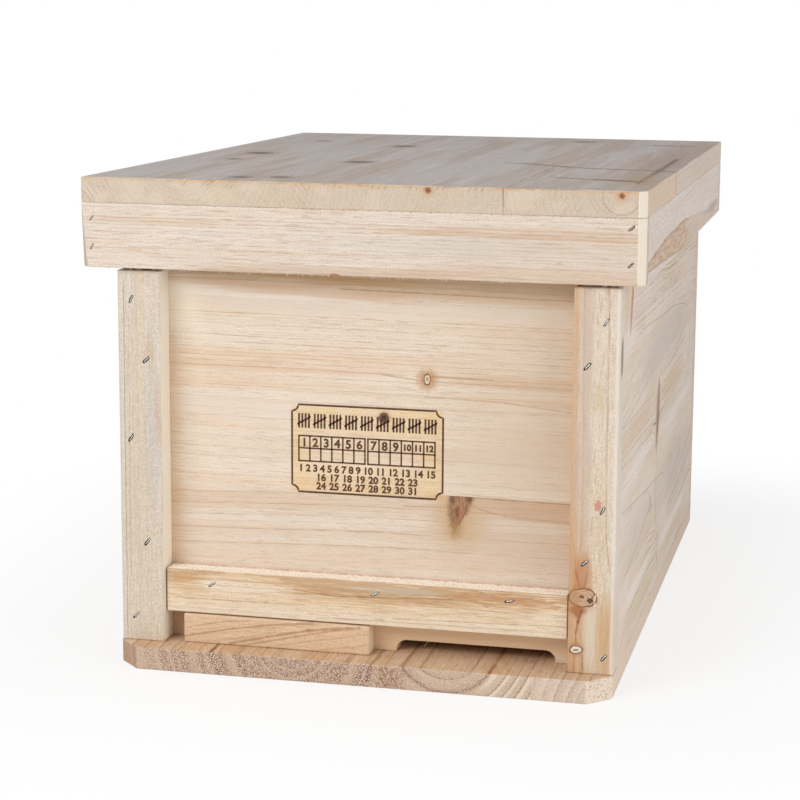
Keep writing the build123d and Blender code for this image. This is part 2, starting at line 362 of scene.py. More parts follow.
class Wood(Finish):
    """The finish of one board, in millimetres. axes names the ways along, across and through."""

    def __init__(self, name, axes, pith, ring, early, late, line=0.5, wander=2.5, lean=0.0, tilt=0.0,
                 knots=(), seed=0.0, fibre=0.16, dash=11.0, streak=0.3, warm=None, warm_share=0.35,
                 end_pale=None, end_dark=None, band=0.5, end_line=0.2, specks=0.3, pore=0.9, soft_side=0.06,
                 uneven=1.4, calm=0.0, bends=(), speckle=0.6):
        super().__init__(name)
        self.axes = axes
        self.seed = seed
        coordinates = self.node("ShaderNodeTexCoord", output="Object")
        self.place = self.vector("MULTIPLY", coordinates, (1 / MM, 1 / MM, 1 / MM))
        spot = self.node("ShaderNodeSeparateXYZ", {}, {0: self.place})
        self.along, self.across, self.through = (spot.other(axis) for axis in axes)
        self.normal = self.node("ShaderNodeSeparateXYZ", {}, {0: coordinates.other("Normal")})
        self.cut_end = abs(self.normal.other(axes[0])).rise(END_FROM, END_TO)
        self.fibres = self.grain_noise(*FIBRE_CELL, detail=4.0)
        self.knots = list(knots)
        self.bends = (*knots, *bends)
        self.grow_rings(pith, ring, wander, lean, tilt, soft_side, uneven)
        if calm:
            self.late = self.late * (1 - calm * self.grain_noise(*CALM_CELL, shift=77.0).rise(0.42, 0.56))
        self.colour = self.mix(self.late * line, early, late)
        if warm:
            patches = self.grain_noise(*WARM_CELL, detail=3.0, shift=31.0).rise(0.42, 0.68)
            self.paint(patches * warm_share, self.mix(1.0, self.colour, warm, "MULTIPLY"))
        self.comb_fibres(early, late, fibre, dash, streak, speckle)
        self.cut_ends(end_pale or early, end_dark or late, band, end_line, specks, pore)

    def grain_noise(self, along, across, through=None, detail=1.0, shift=0.0, output="Fac"):
        """Noise with cells that are long along the grain and narrow across it."""
        sizes = dict(zip(self.axes, (along, across, through or across)))
        scale = tuple(1 / sizes[axis] for axis in "XYZ")
        moved = (self.seed + shift, self.seed * 1.7 + shift, self.seed * 2.3 + shift)
        spot = self.vector("MULTIPLY_ADD", self.place, scale, moved)
        return self.node("ShaderNodeTexNoise", {}, {"Vector": spot, "Scale": 1.0, "Detail": detail}, output)

    def ragged(self, cell, detail=2.0):
        """Noise with round cells."""
        inputs = {"Vector": self.place, "Scale": 1 / cell, "Detail": detail}
        return self.node("ShaderNodeTexNoise", {}, inputs)

    def grow_rings(self, pith, ring, wander, lean, tilt, soft_side, uneven):
        """Work out which ring a point lies in, with a slow drift, a lean, a tilt and bends round knots."""
        drift = self.node("ShaderNodeSeparateXYZ", {}, {0: self.grain_noise(*DRIFT_CELL, output="Color")})
        across = self.across + (drift - 0.5) * (2 * wander)
        if lean:
            across = across - self.along * lean
        for knot in self.bends:
            off = self.across - knot["at"][1]
            far = (self.along - knot["at"][0]) / (BEND_REACH * BEND_LONGER * knot["size"][0])
            wide = off / (BEND_REACH * knot["size"][1])
            near = (far * far + wide * wide).math("MULTIPLY", -1.0).math("EXPONENT")
            across = across - off * near * (BEND_SHARE * knot.get("bend", 1.0))
        through = self.through + (drift.other("Y") - 0.5) * (2 * wander)
        if tilt:
            through = through + self.along * tilt
        years = None
        for middle, depth in pith if isinstance(pith[0], tuple) else (pith,):
            side = across - middle
            deep = through - depth
            count = (side * side + deep * deep).math("SQRT") / ring
            years = count if years is None else years.math("MINIMUM", count)
        pace = {"W": years * YEAR_PACE + self.seed, "Scale": 1.0}
        one_way = {"noise_dimensions": "1D"}
        slow = self.node("ShaderNodeTexNoise", one_way, pace)
        years = years + (slow - 0.5) * uneven + (self.fibres - 0.5) * FIBRE_WOBBLE
        year = years.math("FLOOR")
        self.chance = self.node("ShaderNodeTexWhiteNoise", one_way, {"W": year + self.seed})
        self.band = self.node("ShaderNodeValToRGB", {"stops": BAND_PROFILE}, {0: years - year})
        self.thin = self.node("ShaderNodeValToRGB", {"stops": LINE_PROFILE}, {0: years - year})
        broken = self.grain_noise(*BROKEN_CELL, detail=2.0, shift=17.0).rise(0.36, 0.56)
        lines = self.thin * (0.45 + 0.55 * broken) + self.band * soft_side
        self.late = lines * (0.25 + 0.75 * self.chance)

    def comb_fibres(self, early, late, fibre, dash, streak, speckle):
        """Lay fine fibres, dark and pale dashes and a slow mottle over the rings."""
        self.shade(1 + (self.fibres - 0.5) * fibre)
        strokes = self.grain_noise(dash, DASH_WIDTH, detail=1.0, shift=57.0)
        self.strokes = strokes.rise(DASH_FROM, DASH_TO)
        self.paint(self.strokes * streak, late)
        pale = self.grain_noise(dash * PALE_DASH_LONGER, PALE_DASH_WIDTH, detail=1.0, shift=91.0)
        self.paint(pale.rise(DASH_FROM, DASH_TO) * streak, paler(early, 0.5))
        self.shade(1 + (self.ragged(MOTTLE_CELL) - 0.5) * MOTTLE_SHARE)
        self.shade(1 + (self.ragged(SPECKLE_CELL, 1.0) - 0.5) * speckle)

    def cut_ends(self, pale, dark, band, end_line, specks, pore):
        """Colour the end grain: broad bands or thin lines, brown pores and pale flecks."""
        self.specks = self.ragged(pore, 1.0)
        marks = (self.band * band + self.thin * end_line) * (0.4 + 0.6 * self.chance)
        face = self.mix(marks, pale, dark)
        pores = self.specks.rise(0.5, 0.58) * (marks * 0.7 + 0.3) * specks
        face = self.mix(pores, face, tuple(level * 0.8 for level in dark))
        flecks = self.ragged(pore * 0.85, 1.0).rise(0.52, 0.6)
        face = self.mix(flecks * (marks * 0.5 + 0.5) * specks, face, paler(pale, 0.6))
        self.colour = self.mix(self.cut_end, self.colour, face)

    def shade(self, level):
        """Lighten or darken the colour by a level round 1."""
        self.colour = self.mix(1.0, self.colour, level, "MULTIPLY")

    def paint(self, mask, colour):
        """Lay a colour over what is there, as far as a mask says."""
        self.colour = self.mix(mask, self.colour, colour)

    def facing(self, *direction):
        """Mask of the faces that look in one direction."""
        aim = Vector(direction).normalized()
        level = self.normal.other("X") * aim.x + self.normal.other("Y") * aim.y
        level = level + self.normal.other("Z") * aim.z
        return level.rise(FACING_FROM, FACING_TO)

    def window(self, low, high, soft):
        """Mask of a rectangle along and across the grain."""
        return self.along.between(low[0], high[0], soft) * self.across.between(low[1], high[1], soft)

    def from_spot(self, at, size):
        """Distance from a spot, 1 at the edge of an ellipse."""
        far = (self.along - at[0]) / size[0]
        wide = (self.across - at[1]) / size[1]
        return (far * far + wide * wide).math("SQRT")

    def blot(self, at, size, colour, strength, soft=0.6, torn=0.5, mask=None, cell=(40.0, 2.5)):
        """Stain an oval patch whose edge follows the grain."""
        torn_edge = self.grain_noise(*cell, detail=3.0, shift=at[0] + at[1]) - 0.5
        away = self.from_spot(at, size) + torn_edge * (2 * torn)
        cover = away.rise(1 + soft / 2, 1 - soft / 2) * strength
        self.paint(cover * mask if mask else cover, colour)

    def from_line(self, start, stop):
        """Distance from a line between two places."""
        run = Vector(stop) - Vector(start)
        far = self.along - start[0]
        wide = self.across - start[1]
        share = (far * run.x + wide * run.y) / run.length_squared
        share = share.math("MAXIMUM", 0.0).math("MINIMUM", 1.0)
        far = far - share * run.x
        wide = wide - share * run.y
        return (far * far + wide * wide).math("SQRT")

    def scratch(self, start, stop, width, colour, strength, mask=None):
        """Draw a thin dark line between two places."""
        away = self.from_line(start, stop) + (self.ragged(SCRATCH_CELL) - 0.5) * width * 1.6
        cover = away.rise(width, width * 0.2) * strength
        self.paint(cover * mask if mask else cover, colour)

    def scuff(self, points, colour, strength, mask):
        """Stain a soft, patchy band along a line of places, each with the width up to the next."""
        away = None
        for (*start, width), (*stop, _) in zip(points, points[1:]):
            near = self.from_line(start, stop) / width
            away = near if away is None else away.math("MINIMUM", near)
        bleed = self.grain_noise(*BLEED_CELL, detail=3.0, shift=points[0][0]) - 0.5
        patchy = 0.6 + 0.4 * self.ragged(PATCH_CELL).rise(0.4, 0.6)
        self.paint((away + bleed * 1.6).rise(1.8, 0.0) * patchy * mask * strength, colour)

    def swath(self, start, stop, width, colour, strength):
        """Tint a broad band between two places, which runs out in fine lines along the grain."""
        split = self.grain_noise(*SPLIT_CELL, detail=4.0, shift=start[1]) - 0.5
        climb = (stop[1] - start[1]) / (stop[0] - start[0])
        away = abs(self.across - start[1] - (self.along - start[0]) * climb) + split * (width * 2.0)
        reach = self.along.between(start[0], stop[0], SWATH_FADE)
        self.paint(away.rise(width * 1.2, width * 0.4) * reach * strength, colour)

    def grain_lines(self, lines, width, colour, strength, slope=0.0, level_from=1000.0, reach=None):
        """Draw broken lines, each by its height at the left and its share. The slope ends at level_from."""
        wobble = (self.grain_noise(*WOBBLE_CELL, detail=3.0, shift=23.0) - 0.5) * 2.0
        broken = self.grain_noise(*GAP_CELL, detail=2.0, shift=61.0).rise(0.38, 0.58)
        run = (self.along.math("MINIMUM", level_from) - LINES_FROM) * slope
        height = self.across + wobble - run
        cover = None
        for place, share in lines:
            line = abs(height - place).rise(width, width * 0.25) * share
            cover = line if cover is None else cover.math("MAXIMUM", line)
        cover = cover * (0.25 + 0.75 * broken) * strength
        if reach:
            cover = cover * self.along.between(*reach, LINES_FADE)
        self.paint(cover, colour)

    def draw_knot(self, at, size, core, rim, halo, halo_share=0.5, flame=(2.2, 2.0), heart=None,
                  heart_size=0.3, rings=0.3, edge=0.16, ragged=0.4, bend=1.0):
        """Draw a knot: a soft stain, a core with its own rings, a dark rim and sometimes a dark heart."""
        coarse = self.ragged(KNOT_CELL) - 0.5
        fine = self.ragged(KNOT_FINE_CELL) - 0.5
        away = self.from_spot(at, size) + coarse * ragged + fine * ragged * 0.5
        stain = self.from_spot(at, (size[0] * flame[0], size[1] * flame[1])) + coarse * 0.5
        self.paint(stain.rise(1.0, 0.15) * halo_share * (0.75 + bend * 0.25), halo)
        inside = away.rise(1.04, 0.94)
        self.paint(inside, core)
        waver = (self.ragged(KNOT_RING_CELL) - 0.5) * KNOT_WAVER
        waves = (away * KNOT_RINGS + waver).math("SINE").rise(0.3, 1.0)
        self.paint(waves * inside * rings, rim)
        self.paint(abs(away - 0.98).rise(edge, edge * 0.25) * 0.9, rim)
        if heart:
            self.paint(away.rise(heart_size * 1.3, heart_size * 0.7), heart)

    def draw_knots(self):
        """Draw the knots over what has been painted so far."""
        for knot in self.knots:
            self.draw_knot(**knot)
        self.knots = []

    def done(self, rough=0.62, relief=0.35):
        """Draw what is left to draw, and link colour, roughness and relief to the shader."""
        self.draw_knots()
        self.feed("Base Color", self.colour)
        self.feed("Roughness", (self.fibres - 0.5) * 0.22 + (self.late * 0.06 + rough))
        height = self.fibres * 0.7 + (1 - self.strokes) * 0.25 + self.late * 0.2
        height = height + self.specks * self.cut_end * 0.6
        self.bump(height, RELIEF_DEPTH, relief)
        self.feed("Specular IOR Level", 0.35)
        return self.material


print("recipe: Wood")

# %% [markdown]
# ## The front wall
# The front is two boards glued edge to edge, with the grain lying flat. The upper board has a small
# knot with a pale middle and a dark one inside the tally mark, whose place is yellow from the heat of
# the iron. The lower board has half of a larger knot: the saw cut it off at the joint. Both boards come
# from near the middle of a trunk, so the lines are wide at one height and close together above and
# below. Putting the pith a little behind the face gives exactly that.

# %% Front wall finishes
WALL_EARLY = tone(234, 217, 198)
WALL_LATE = tone(168, 122, 84)
WALL_WARM = tone(250, 234, 214)
WALL_SHADE = tone(204, 178, 150)
WALL_TAN_AND_RIM_SHADE = tone(200, 156, 100)
WALL_BOUNCE_LIGHT = tone(230, 180, 124)
WALL_PALE = tone(232, 216, 199)
SCORCH = tone(255, 242, 208)
TALLY_LOW = (-52.6, 121.0)
TALLY_HIGH = (50.0, 180.0)


def scorch(wood):
    """Yellow the place of the tally mark, most of all near its edge."""
    inside = wood.window(TALLY_LOW, TALLY_HIGH, 0.8)
    middle = wood.window((-40.0, 138.0), (38.0, 163.0), 12.0)
    heat = inside * (0.95 - 0.6 * middle) * (0.7 + 1.2 * (wood.ragged(14.0) - 0.4))
    wood.paint(heat, wood.mix(1.0, wood.colour, SCORCH, "MULTIPLY"))


small_knot = {"at": (39.2, 200.7), "size": (2.1, 3.4), "core": tone(226, 204, 178), "rim": tone(92, 62, 48),
              "halo": tone(184, 128, 70), "halo_share": 0.85, "flame": (4.8, 3.0),
              "heart": tone(176, 148, 120), "heart_size": 0.34, "rings": 0.0, "edge": 0.24, "ragged": 0.6}
dark_knot = {"at": (10.2, 173.7), "size": (2.7, 3.0), "core": tone(92, 66, 52), "rim": tone(104, 76, 58),
             "halo": tone(190, 142, 88), "halo_share": 0.9, "flame": (2.6, 2.4), "heart": tone(34, 25, 20),
             "heart_size": 0.45, "edge": 0.5, "bend": 0.6}
UPPER_LINES = ((266.0, 0.5), (262.0, 0.5), (245.5, 0.2), (240.0, 0.8), (237.8, 0.55), (232.6, 0.6),
               (228.2, 0.3), (224.9, 1.0), (220.6, 0.75), (218.2, 0.25), (216.4, 0.55), (214.0, 0.4),
               (211.4, 0.7), (207.9, 0.6), (204.2, 0.85), (199.3, 0.5), (196.2, 0.3), (191.4, 0.6),
               (189.8, 0.3), (182.8, 0.45), (176.0, 0.3), (170.4, 0.5), (163.0, 0.35), (157.0, 0.3),
               (149.0, 0.45), (142.5, 0.3), (134.0, 0.5), (127.0, 0.35))
upper = Wood("front_wall_upper_wood", "XZY", (150.0, -205.0), 4.0, WALL_EARLY, WALL_LATE, line=0.2,
             wander=1.6, knots=(small_knot, dark_knot), seed=3.1, warm=WALL_WARM, warm_share=0.4,
             streak=0.2)
for start, stop, width, colour, strength in (
    # painted light: a pale band that lifts the rim's shadow on the left half of the wall
    ((-150.0, 254.0), (0.0, 253.0), 6.0, tone(250, 240, 228), 0.7),
    # the five bands below: a tan band in the wood under the rim, deepened with painted warm shade of the
    # rim
    ((-150.0, 268.0), (20.0, 265.0), 6.0, WALL_TAN_AND_RIM_SHADE, 0.55),
    ((-100.0, 257.0), (20.0, 253.5), 4.0, tone(220, 180, 142), 0.55),
    ((-150.0, 273.0), (150.0, 264.0), 9.0, WALL_TAN_AND_RIM_SHADE, 0.6),
    ((-150.0, 260.0), (-20.0, 258.5), 3.0, tone(226, 190, 154), 0.5),
    ((-20.0, 258.5), (150.0, 253.5), 4.5, tone(226, 192, 156), 0.6),
    ((-150.0, 204.0), (8.0, 202.8), 3.2, tone(218, 182, 144), 0.4),
    ((-150.0, 213.0), (60.0, 211.0), 4.0, tone(228, 198, 164), 0.35),
    ((-150.0, 193.0), (20.0, 191.0), 4.0, tone(228, 200, 168), 0.35),
    ((60.0, 201.4), (150.0, 200.0), 4.5, tone(210, 170, 126), 0.55),
    ((60.0, 190.0), (150.0, 187.0), 4.0, tone(222, 190, 152), 0.4),
    # painted light: a pale band that lifts the wall under the rim's shadow
    ((-150.0, 246.0), (150.0, 243.0), 5.0, WALL_PALE, 0.6),
    ((-150.0, 177.0), (-30.0, 176.0), 8.0, WALL_PALE, 0.6),
    ((60.0, 150.0), (150.0, 149.0), 12.0, WALL_PALE, 0.5),
):
    upper.swath(start, stop, width, colour, strength)
upper.grain_lines(UPPER_LINES, 0.4, WALL_LATE, 0.65, slope=-0.01)
for start, stop, width, strength in (
    ((-20.0, 258.0), (137.0, 255.6), 0.7, 0.5),
    ((8.0, 202.6), (36.0, 199.6), 0.6, 0.55),
    ((42.5, 203.0), (82.0, 202.0), 0.9, 0.5),
    ((42.5, 199.4), (137.0, 198.0), 0.7, 0.4),
    ((37.7, 189.2), (87.5, 188.0), 0.6, 0.5),
    ((87.5, 188.0), (137.0, 183.0), 0.7, 0.5),
):
    upper.scratch(start, stop, width, WALL_LATE, strength)
upper.blot((140.0, 205.0), (70.0, 70.0), WALL_SHADE, 0.4, soft=1.6, torn=0.3)
upper.blot((110.0, 150.0), (60.0, 30.0), WALL_SHADE, 0.3, soft=1.6, torn=0.3)
# painted bounce light: a warm glow on the wall beside the left post
upper.blot((-140.0, 165.0), (9.0, 70.0), WALL_BOUNCE_LIGHT, 0.24, soft=1.2, torn=0.15)
# painted light: lifts the shade of the post and rim in the wall's top left corner
upper.blot((-130.0, 243.0), (14.0, 18.0), tone(252, 238, 216), 0.5, soft=1.4, torn=0.15)
scorch(upper)
front_upper_material = upper.done()

LOWER_LINES = ((117.0, 0.4), (113.0, 0.4), (109.2, 0.85), (105.8, 0.3), (101.8, 0.75), (97.0, 0.4),
               (91.8, 0.9), (86.5, 0.25), (81.8, 0.8), (76.0, 0.25), (71.4, 0.4))
lower = Wood("front_wall_lower_wood", "XZY", (-70.0, -200.0), 8.2, tone(230, 214, 197), WALL_LATE, line=0.2,
             wander=1.6, lean=0.03, seed=7.7, warm=WALL_WARM, warm_share=0.4, streak=0.2, soft_side=0.2)
for start, stop, width, colour, strength in (
    ((-150.0, 111.0), (50.0, 117.0), 8.0, tone(214, 182, 146), 0.4),
    ((72.0, 120.0), (150.0, 117.0), 7.5, tone(198, 156, 116), 0.75),
    ((84.0, 112.0), (150.0, 109.5), 2.0, tone(196, 152, 112), 0.6),
    ((-150.0, 92.0), (140.0, 97.0), 5.0, tone(222, 192, 160), 0.35),
    ((-150.0, 74.0), (100.0, 76.0), 4.0, tone(224, 196, 164), 0.35),
):
    lower.swath(start, stop, width, colour, strength)
lower.grain_lines(LOWER_LINES, 0.42, WALL_LATE, 0.62, slope=0.033, level_from=0.0)
lower.scratch((69.0, 119.5), (76.0, 115.5), 0.9, WALL_LATE, 0.5)
lower.scratch((76.0, 115.5), (92.0, 112.6), 0.9, WALL_LATE, 0.45)
lower.scratch((92.0, 112.6), (137.0, 110.0), 0.8, WALL_LATE, 0.35)
lower.scratch((72.0, 123.4), (137.0, 122.6), 0.7, tone(150, 110, 80), 0.6)
lower.scratch((24.0, 115.0), (54.0, 116.0), 0.7, WALL_LATE, 0.5)
lower.blot((110.0, 96.0), (66.0, 22.0), WALL_SHADE, 0.5, soft=1.4, torn=0.5)
# painted bounce light: warm light from the floor on the wall under the rail
lower.blot((0.0, 26.0), (150.0, 12.0), tone(238, 202, 160), 0.7, soft=0.4, torn=0.1)
# painted shade in the recess between the left post, the slider and the rail
lower.blot((-132.0, 26.0), (7.0, 14.0), tone(170, 128, 98), 0.6, soft=0.8, torn=0.2)
# painted bounce light: a warm glow on the wall beside the left post
lower.blot((-140.0, 95.0), (10.0, 70.0), WALL_BOUNCE_LIGHT, 0.32, soft=1.2, torn=0.15)


def half_knot(wood):
    """Half a knot that hangs from the joint: a soft stain, a red-brown wedge and dark flecks."""
    wood.blot((60.5, 113.0), (15.0, 19.0), tone(200, 162, 116), 0.8, soft=1.7, torn=0.2, cell=(6.0, 6.0))
    depth = 124.0 - wood.across
    half_width = 7.4 - depth * depth * 0.0125
    torn_line = (wood.ragged(2.4) - 0.5) * 3.2 + (wood.ragged(0.9) - 0.5) * 1.6
    out = abs(wood.along - (62.6 - depth * 0.19)) - half_width + torn_line
    patches = wood.grain_noise(1.5, 4.0, detail=3.0, shift=3.0).rise(0.36, 0.64)
    wood.paint(out.rise(3.2, -2.6) * 0.85, wood.mix(patches, tone(132, 90, 62), tone(172, 130, 92)))
    wood.paint(abs(out + 1.2).rise(2.6, 0.2) * 0.45, tone(128, 86, 60))
    wood.blot((61.4, 111.4), (2.6, 5.2), tone(178, 116, 82), 0.6, soft=1.2, torn=0.4, cell=(2.0, 4.0))
    wood.scratch((65.6, 111.0), (62.6, 104.6), 0.7, tone(220, 198, 176), 0.5)
    wood.blot((59.0, 100.6), (4.6, 5.0), tone(176, 140, 86), 0.65, soft=1.8, torn=0.6, cell=(3.0, 3.0))
    for at, size in (((56.6, 121.6), (1.6, 2.6)), ((68.2, 122.4), (2.4, 1.8)), ((60.0, 113.0), (1.4, 4.0))):
        wood.blot(at, size, tone(102, 66, 48), 0.7, soft=1.2, torn=0.7, cell=(1.6, 3.0))


half_knot(lower)
scorch(lower)
front_lower_material = lower.done()
print("front wall:", front_upper_material.name, front_lower_material.name)

# %% [markdown]
# ## The posts
# The two posts stand over the front corners, so their grain is upright. The left one is grey and fuzzy,
# with a bruise from damp. The right one is warmer and holds two knots one above the other, with a
# reddish streak of resin between.

# %% Post finishes
left_post = Wood("left_post_wood", "ZXY", (-196.0, -230.0), 3.4, tone(219, 206, 191), tone(164, 136, 106),
                 line=0.25, wander=1.6, seed=11.3, warm=tone(250, 240, 222), warm_share=0.5, streak=0.18)
left_post.blot((168.0, -144.0), (60.0, 4.4), tone(196, 190, 184), 0.45, soft=1.0, torn=0.9)
left_post.blot((172.0, -140.0), (22.0, 2.4), tone(206, 170, 150), 0.5, soft=0.9, torn=0.6)
left_post.blot((214.0, -145.0), (12.0, 3.0), tone(200, 166, 120), 0.4, soft=1.0, torn=0.6)
fuzz = left_post.ragged(0.9, 1.0).rise(0.58, 0.66) * left_post.across.rise(-156.0, -146.0)
left_post.paint(fuzz * left_post.facing(0, -1, 0) * 0.4, tone(246, 240, 232))
# painted light on the side face, which the lamps leave in shade
left_post.paint(left_post.facing(1, 0, 0) * 0.85, tone(252, 245, 228))
left_post.scratch((20.0, -163.6), (262.0, -162.8), 0.5, tone(132, 104, 80), 0.5)
left_post.scratch((60.0, -160.4), (240.0, -159.6), 0.4, tone(158, 130, 102), 0.35)
left_post_material = left_post.done()

ringed_knot = {"at": (66.2, 147.0), "size": (6.2, 9.2), "core": tone(204, 170, 136),
               "rim": tone(132, 82, 52), "halo": tone(178, 112, 66), "halo_share": 0.85,
               "flame": (1.9, 1.35), "rings": 0.4, "edge": 0.12, "ragged": 0.3}
eye_knot = {"at": (31.3, 143.0), "size": (2.5, 4.2), "core": tone(236, 220, 200), "rim": tone(108, 68, 48),
            "halo": tone(176, 116, 76), "halo_share": 0.9, "flame": (2.6, 1.6), "rings": 0.0, "edge": 0.2,
            "ragged": 0.4}
right_post = Wood("right_post_wood", "ZXY", (152.0, -234.0), 3.2, tone(225, 208, 188), tone(170, 130, 92),
                  line=0.5, wander=1.6, knots=(ringed_knot, eye_knot), seed=17.9, warm=tone(250, 238, 206),
                  warm_share=0.5)
right_post.blot((180.0, 139.2), (150.0, 2.8), tone(204, 160, 120), 0.65, soft=1.0, torn=0.5)
right_post.blot((196.0, 146.0), (116.0, 4.6), tone(202, 178, 162), 0.6, soft=1.0, torn=0.6)
right_post.blot((44.0, 140.6), (64.0, 7.6), tone(204, 158, 114), 0.75, soft=1.2, torn=0.7)
right_post.blot((40.0, 152.0), (26.0, 5.0), tone(222, 206, 188), 0.5, soft=0.8, torn=0.5)
right_post.blot((40.0, 163.2), (30.0, 7.0), tone(204, 164, 112), 0.75, soft=1.0, torn=0.8, cell=(30.0, 1.5))
right_post.blot((196.0, 155.0), (8.0, 3.0), tone(206, 182, 116), 0.35, soft=1.2, torn=0.6)
right_post.blot((80.0, 146.5), (14.0, 6.0), tone(190, 132, 86), 0.7, soft=1.3, torn=0.7)
right_post.blot((57.6, 143.4), (4.0, 5.2), tone(164, 98, 58), 0.8, soft=1.2, torn=0.8, cell=(5.0, 3.0))
# painted highlight along the eased right edge and on the side face
right_post.paint(right_post.across.rise(164.2, 165.4) * 0.6, tone(240, 229, 220))
for start, stop, width, strength in (
    ((104.0, 140.6), (84.0, 141.8), 0.6, 0.2),
    ((84.0, 141.8), (73.0, 144.6), 1.0, 0.4),
    ((94.0, 150.4), (82.0, 149.2), 0.6, 0.15),
    ((82.0, 149.2), (73.0, 147.8), 1.0, 0.4),
    ((58.0, 146.4), (50.0, 144.0), 1.4, 0.7),
    ((50.0, 144.0), (43.0, 142.8), 1.0, 0.65),
    ((43.0, 142.8), (34.0, 143.0), 0.7, 0.6),
    ((28.0, 147.0), (18.0, 147.6), 0.7, 0.5),
    ((27.0, 142.0), (16.0, 141.4), 0.7, 0.4),
):
    right_post.scratch(start, stop, width, tone(140, 80, 48), strength)
right_post.draw_knots()
right_post.blot((66.2, 141.4), (5.0, 3.6), tone(186, 138, 94), 0.6, soft=1.0, torn=0.5, cell=(4.0, 4.0))
right_post.scratch((61.0, 154.2), (68.6, 155.0), 0.7, tone(240, 226, 206), 0.8)
right_post.blot((64.4, 151.6), (1.5, 2.0), tone(66, 44, 34), 0.9, soft=0.5, torn=1.0, cell=(1.8, 1.6))
right_post.scratch((66.2, 149.8), (65.2, 152.6), 0.5, tone(70, 46, 36), 0.8)
right_post.scratch((66.6, 152.6), (69.4, 155.2), 0.6, tone(70, 46, 36), 0.85)
right_post.blot((66.8, 146.2), (1.0, 1.6), tone(120, 64, 40), 0.9, soft=0.5, torn=0.4, cell=(2.0, 1.5))
right_post.scratch((31.0, 141.6), (31.2, 144.4), 0.7, tone(92, 62, 48), 0.9)
lens_long = (right_post.along - 222.0) / 14.0
lens_deep = (right_post.through + 248.6) / 5.4
lens_away = (lens_long * lens_long + lens_deep * lens_deep).math("SQRT")
lens_away = lens_away + (right_post.ragged(5.0) - 0.5) * 0.5
right_post.paint(lens_away.rise(1.15, 0.7) * right_post.facing(1, 0, 0) * 0.9, tone(146, 120, 104))
right_post.blot((127.4, 155.4), (3.4, 2.2), tone(206, 140, 124), 0.85, soft=0.5, torn=0.6, cell=(2.0, 1.5))
right_post_material = right_post.done()
print("posts:", left_post_material.name, right_post_material.name)

# %% [markdown]
# ## The entrance
# A strip of poorer wood keeps the rain off the entrance, and a block of redder wood slides under it.
# The strip has rough brown patches along its upper half, and its sawn top is pale and fuzzy, with painted
# light on it too. The block was sawn at a slant to its grain, so its lines climb to the right. The
# recipe's lean does that.

# %% Rail and slider finishes
RAIL_LATE = tone(172, 124, 82)

rail = Wood("rail_wood", "XZY", (-40.0, -236.0), 3.4, tone(235, 217, 192), RAIL_LATE, line=0.5, wander=1.6,
            seed=23.5, warm=tone(248, 230, 202), warm_share=0.5, streak=0.3)
patchy = rail.along.rise(-62.0, -40.0) * rail.along.rise(126.0, 112.0)
patchy = patchy + rail.along.rise(-102.0, -118.0) * 0.8
rough = (rail.across - 53.0) / 5.0 + (patchy - 0.6) * 2.0
rough = rough + (rail.grain_noise(46.0, 5.0, detail=2.0, shift=5.0) - 0.5) * 3.0
rough = rough + (rail.grain_noise(26.0, 1.1, detail=5.0, shift=15.0) - 0.5) * 8.0
rail.paint(rough.rise(0.0, 0.5) * 0.5, tone(208, 170, 124))
rail.paint(rough.rise(1.2, 1.8) * 0.45, tone(180, 136, 92))
rail.blot((8.0, 57.6), (54.0, 4.6), tone(188, 148, 104), 0.5, soft=0.3, torn=1.6, cell=(26.0, 1.1))
rail.blot((22.0, 61.0), (30.0, 2.2), tone(200, 184, 164), 0.7, soft=0.5, torn=1.0, cell=(24.0, 1.1))
rail.blot((-124.0, 60.0), (8.0, 2.6), tone(206, 160, 108), 0.7, soft=0.5, torn=0.8, cell=(5.0, 1.4))
rail.blot((-122.0, 53.0), (14.0, 3.0), tone(214, 176, 128), 0.5, soft=0.4, torn=1.6, cell=(14.0, 1.1))
rail.blot((100.0, 60.0), (30.0, 3.6), tone(190, 134, 88), 0.6, soft=0.3, torn=2.4, cell=(9.0, 1.0))
pale_streaks = rail.grain_noise(20.0, 1.0, detail=2.0, shift=35.0).rise(0.58, 0.64)
rail.paint(pale_streaks * rough.rise(0.0, 0.5) * 0.45, tone(238, 218, 190))
rail.scratch((-48.0, 57.5), (-18.0, 54.5), 0.6, tone(150, 108, 70), 0.6)
rail.scratch((-18.0, 54.5), (60.0, 58.0), 0.6, tone(150, 108, 70), 0.6)
rail.scratch((-130.0, 46.4), (-40.0, 47.0), 0.5, RAIL_LATE, 0.5)
rail.scratch((20.0, 42.0), (136.0, 45.0), 0.5, RAIL_LATE, 0.5)
rail.scratch((-20.0, 39.6), (110.0, 40.6), 0.5, RAIL_LATE, 0.4)
# the top face: pale, fuzzy sawn wood, made brighter still by painted light
saw_fuzz = rail.ragged(1.1, 2.0)
sawn_top_and_light = rail.mix(saw_fuzz.rise(0.36, 0.52), tone(232, 208, 180), tone(255, 248, 236))
rail.paint(rail.facing(0, 0, 1), sawn_top_and_light)
back_edge = (rail.through + (rail.ragged(3.0, 3.0) - 0.5) * 9.0).rise(-242.4, -241.0)
rail.paint(back_edge * rail.facing(0, 0, 1) * 0.8, tone(206, 138, 96))
rail_material = rail.done(relief=0.45)

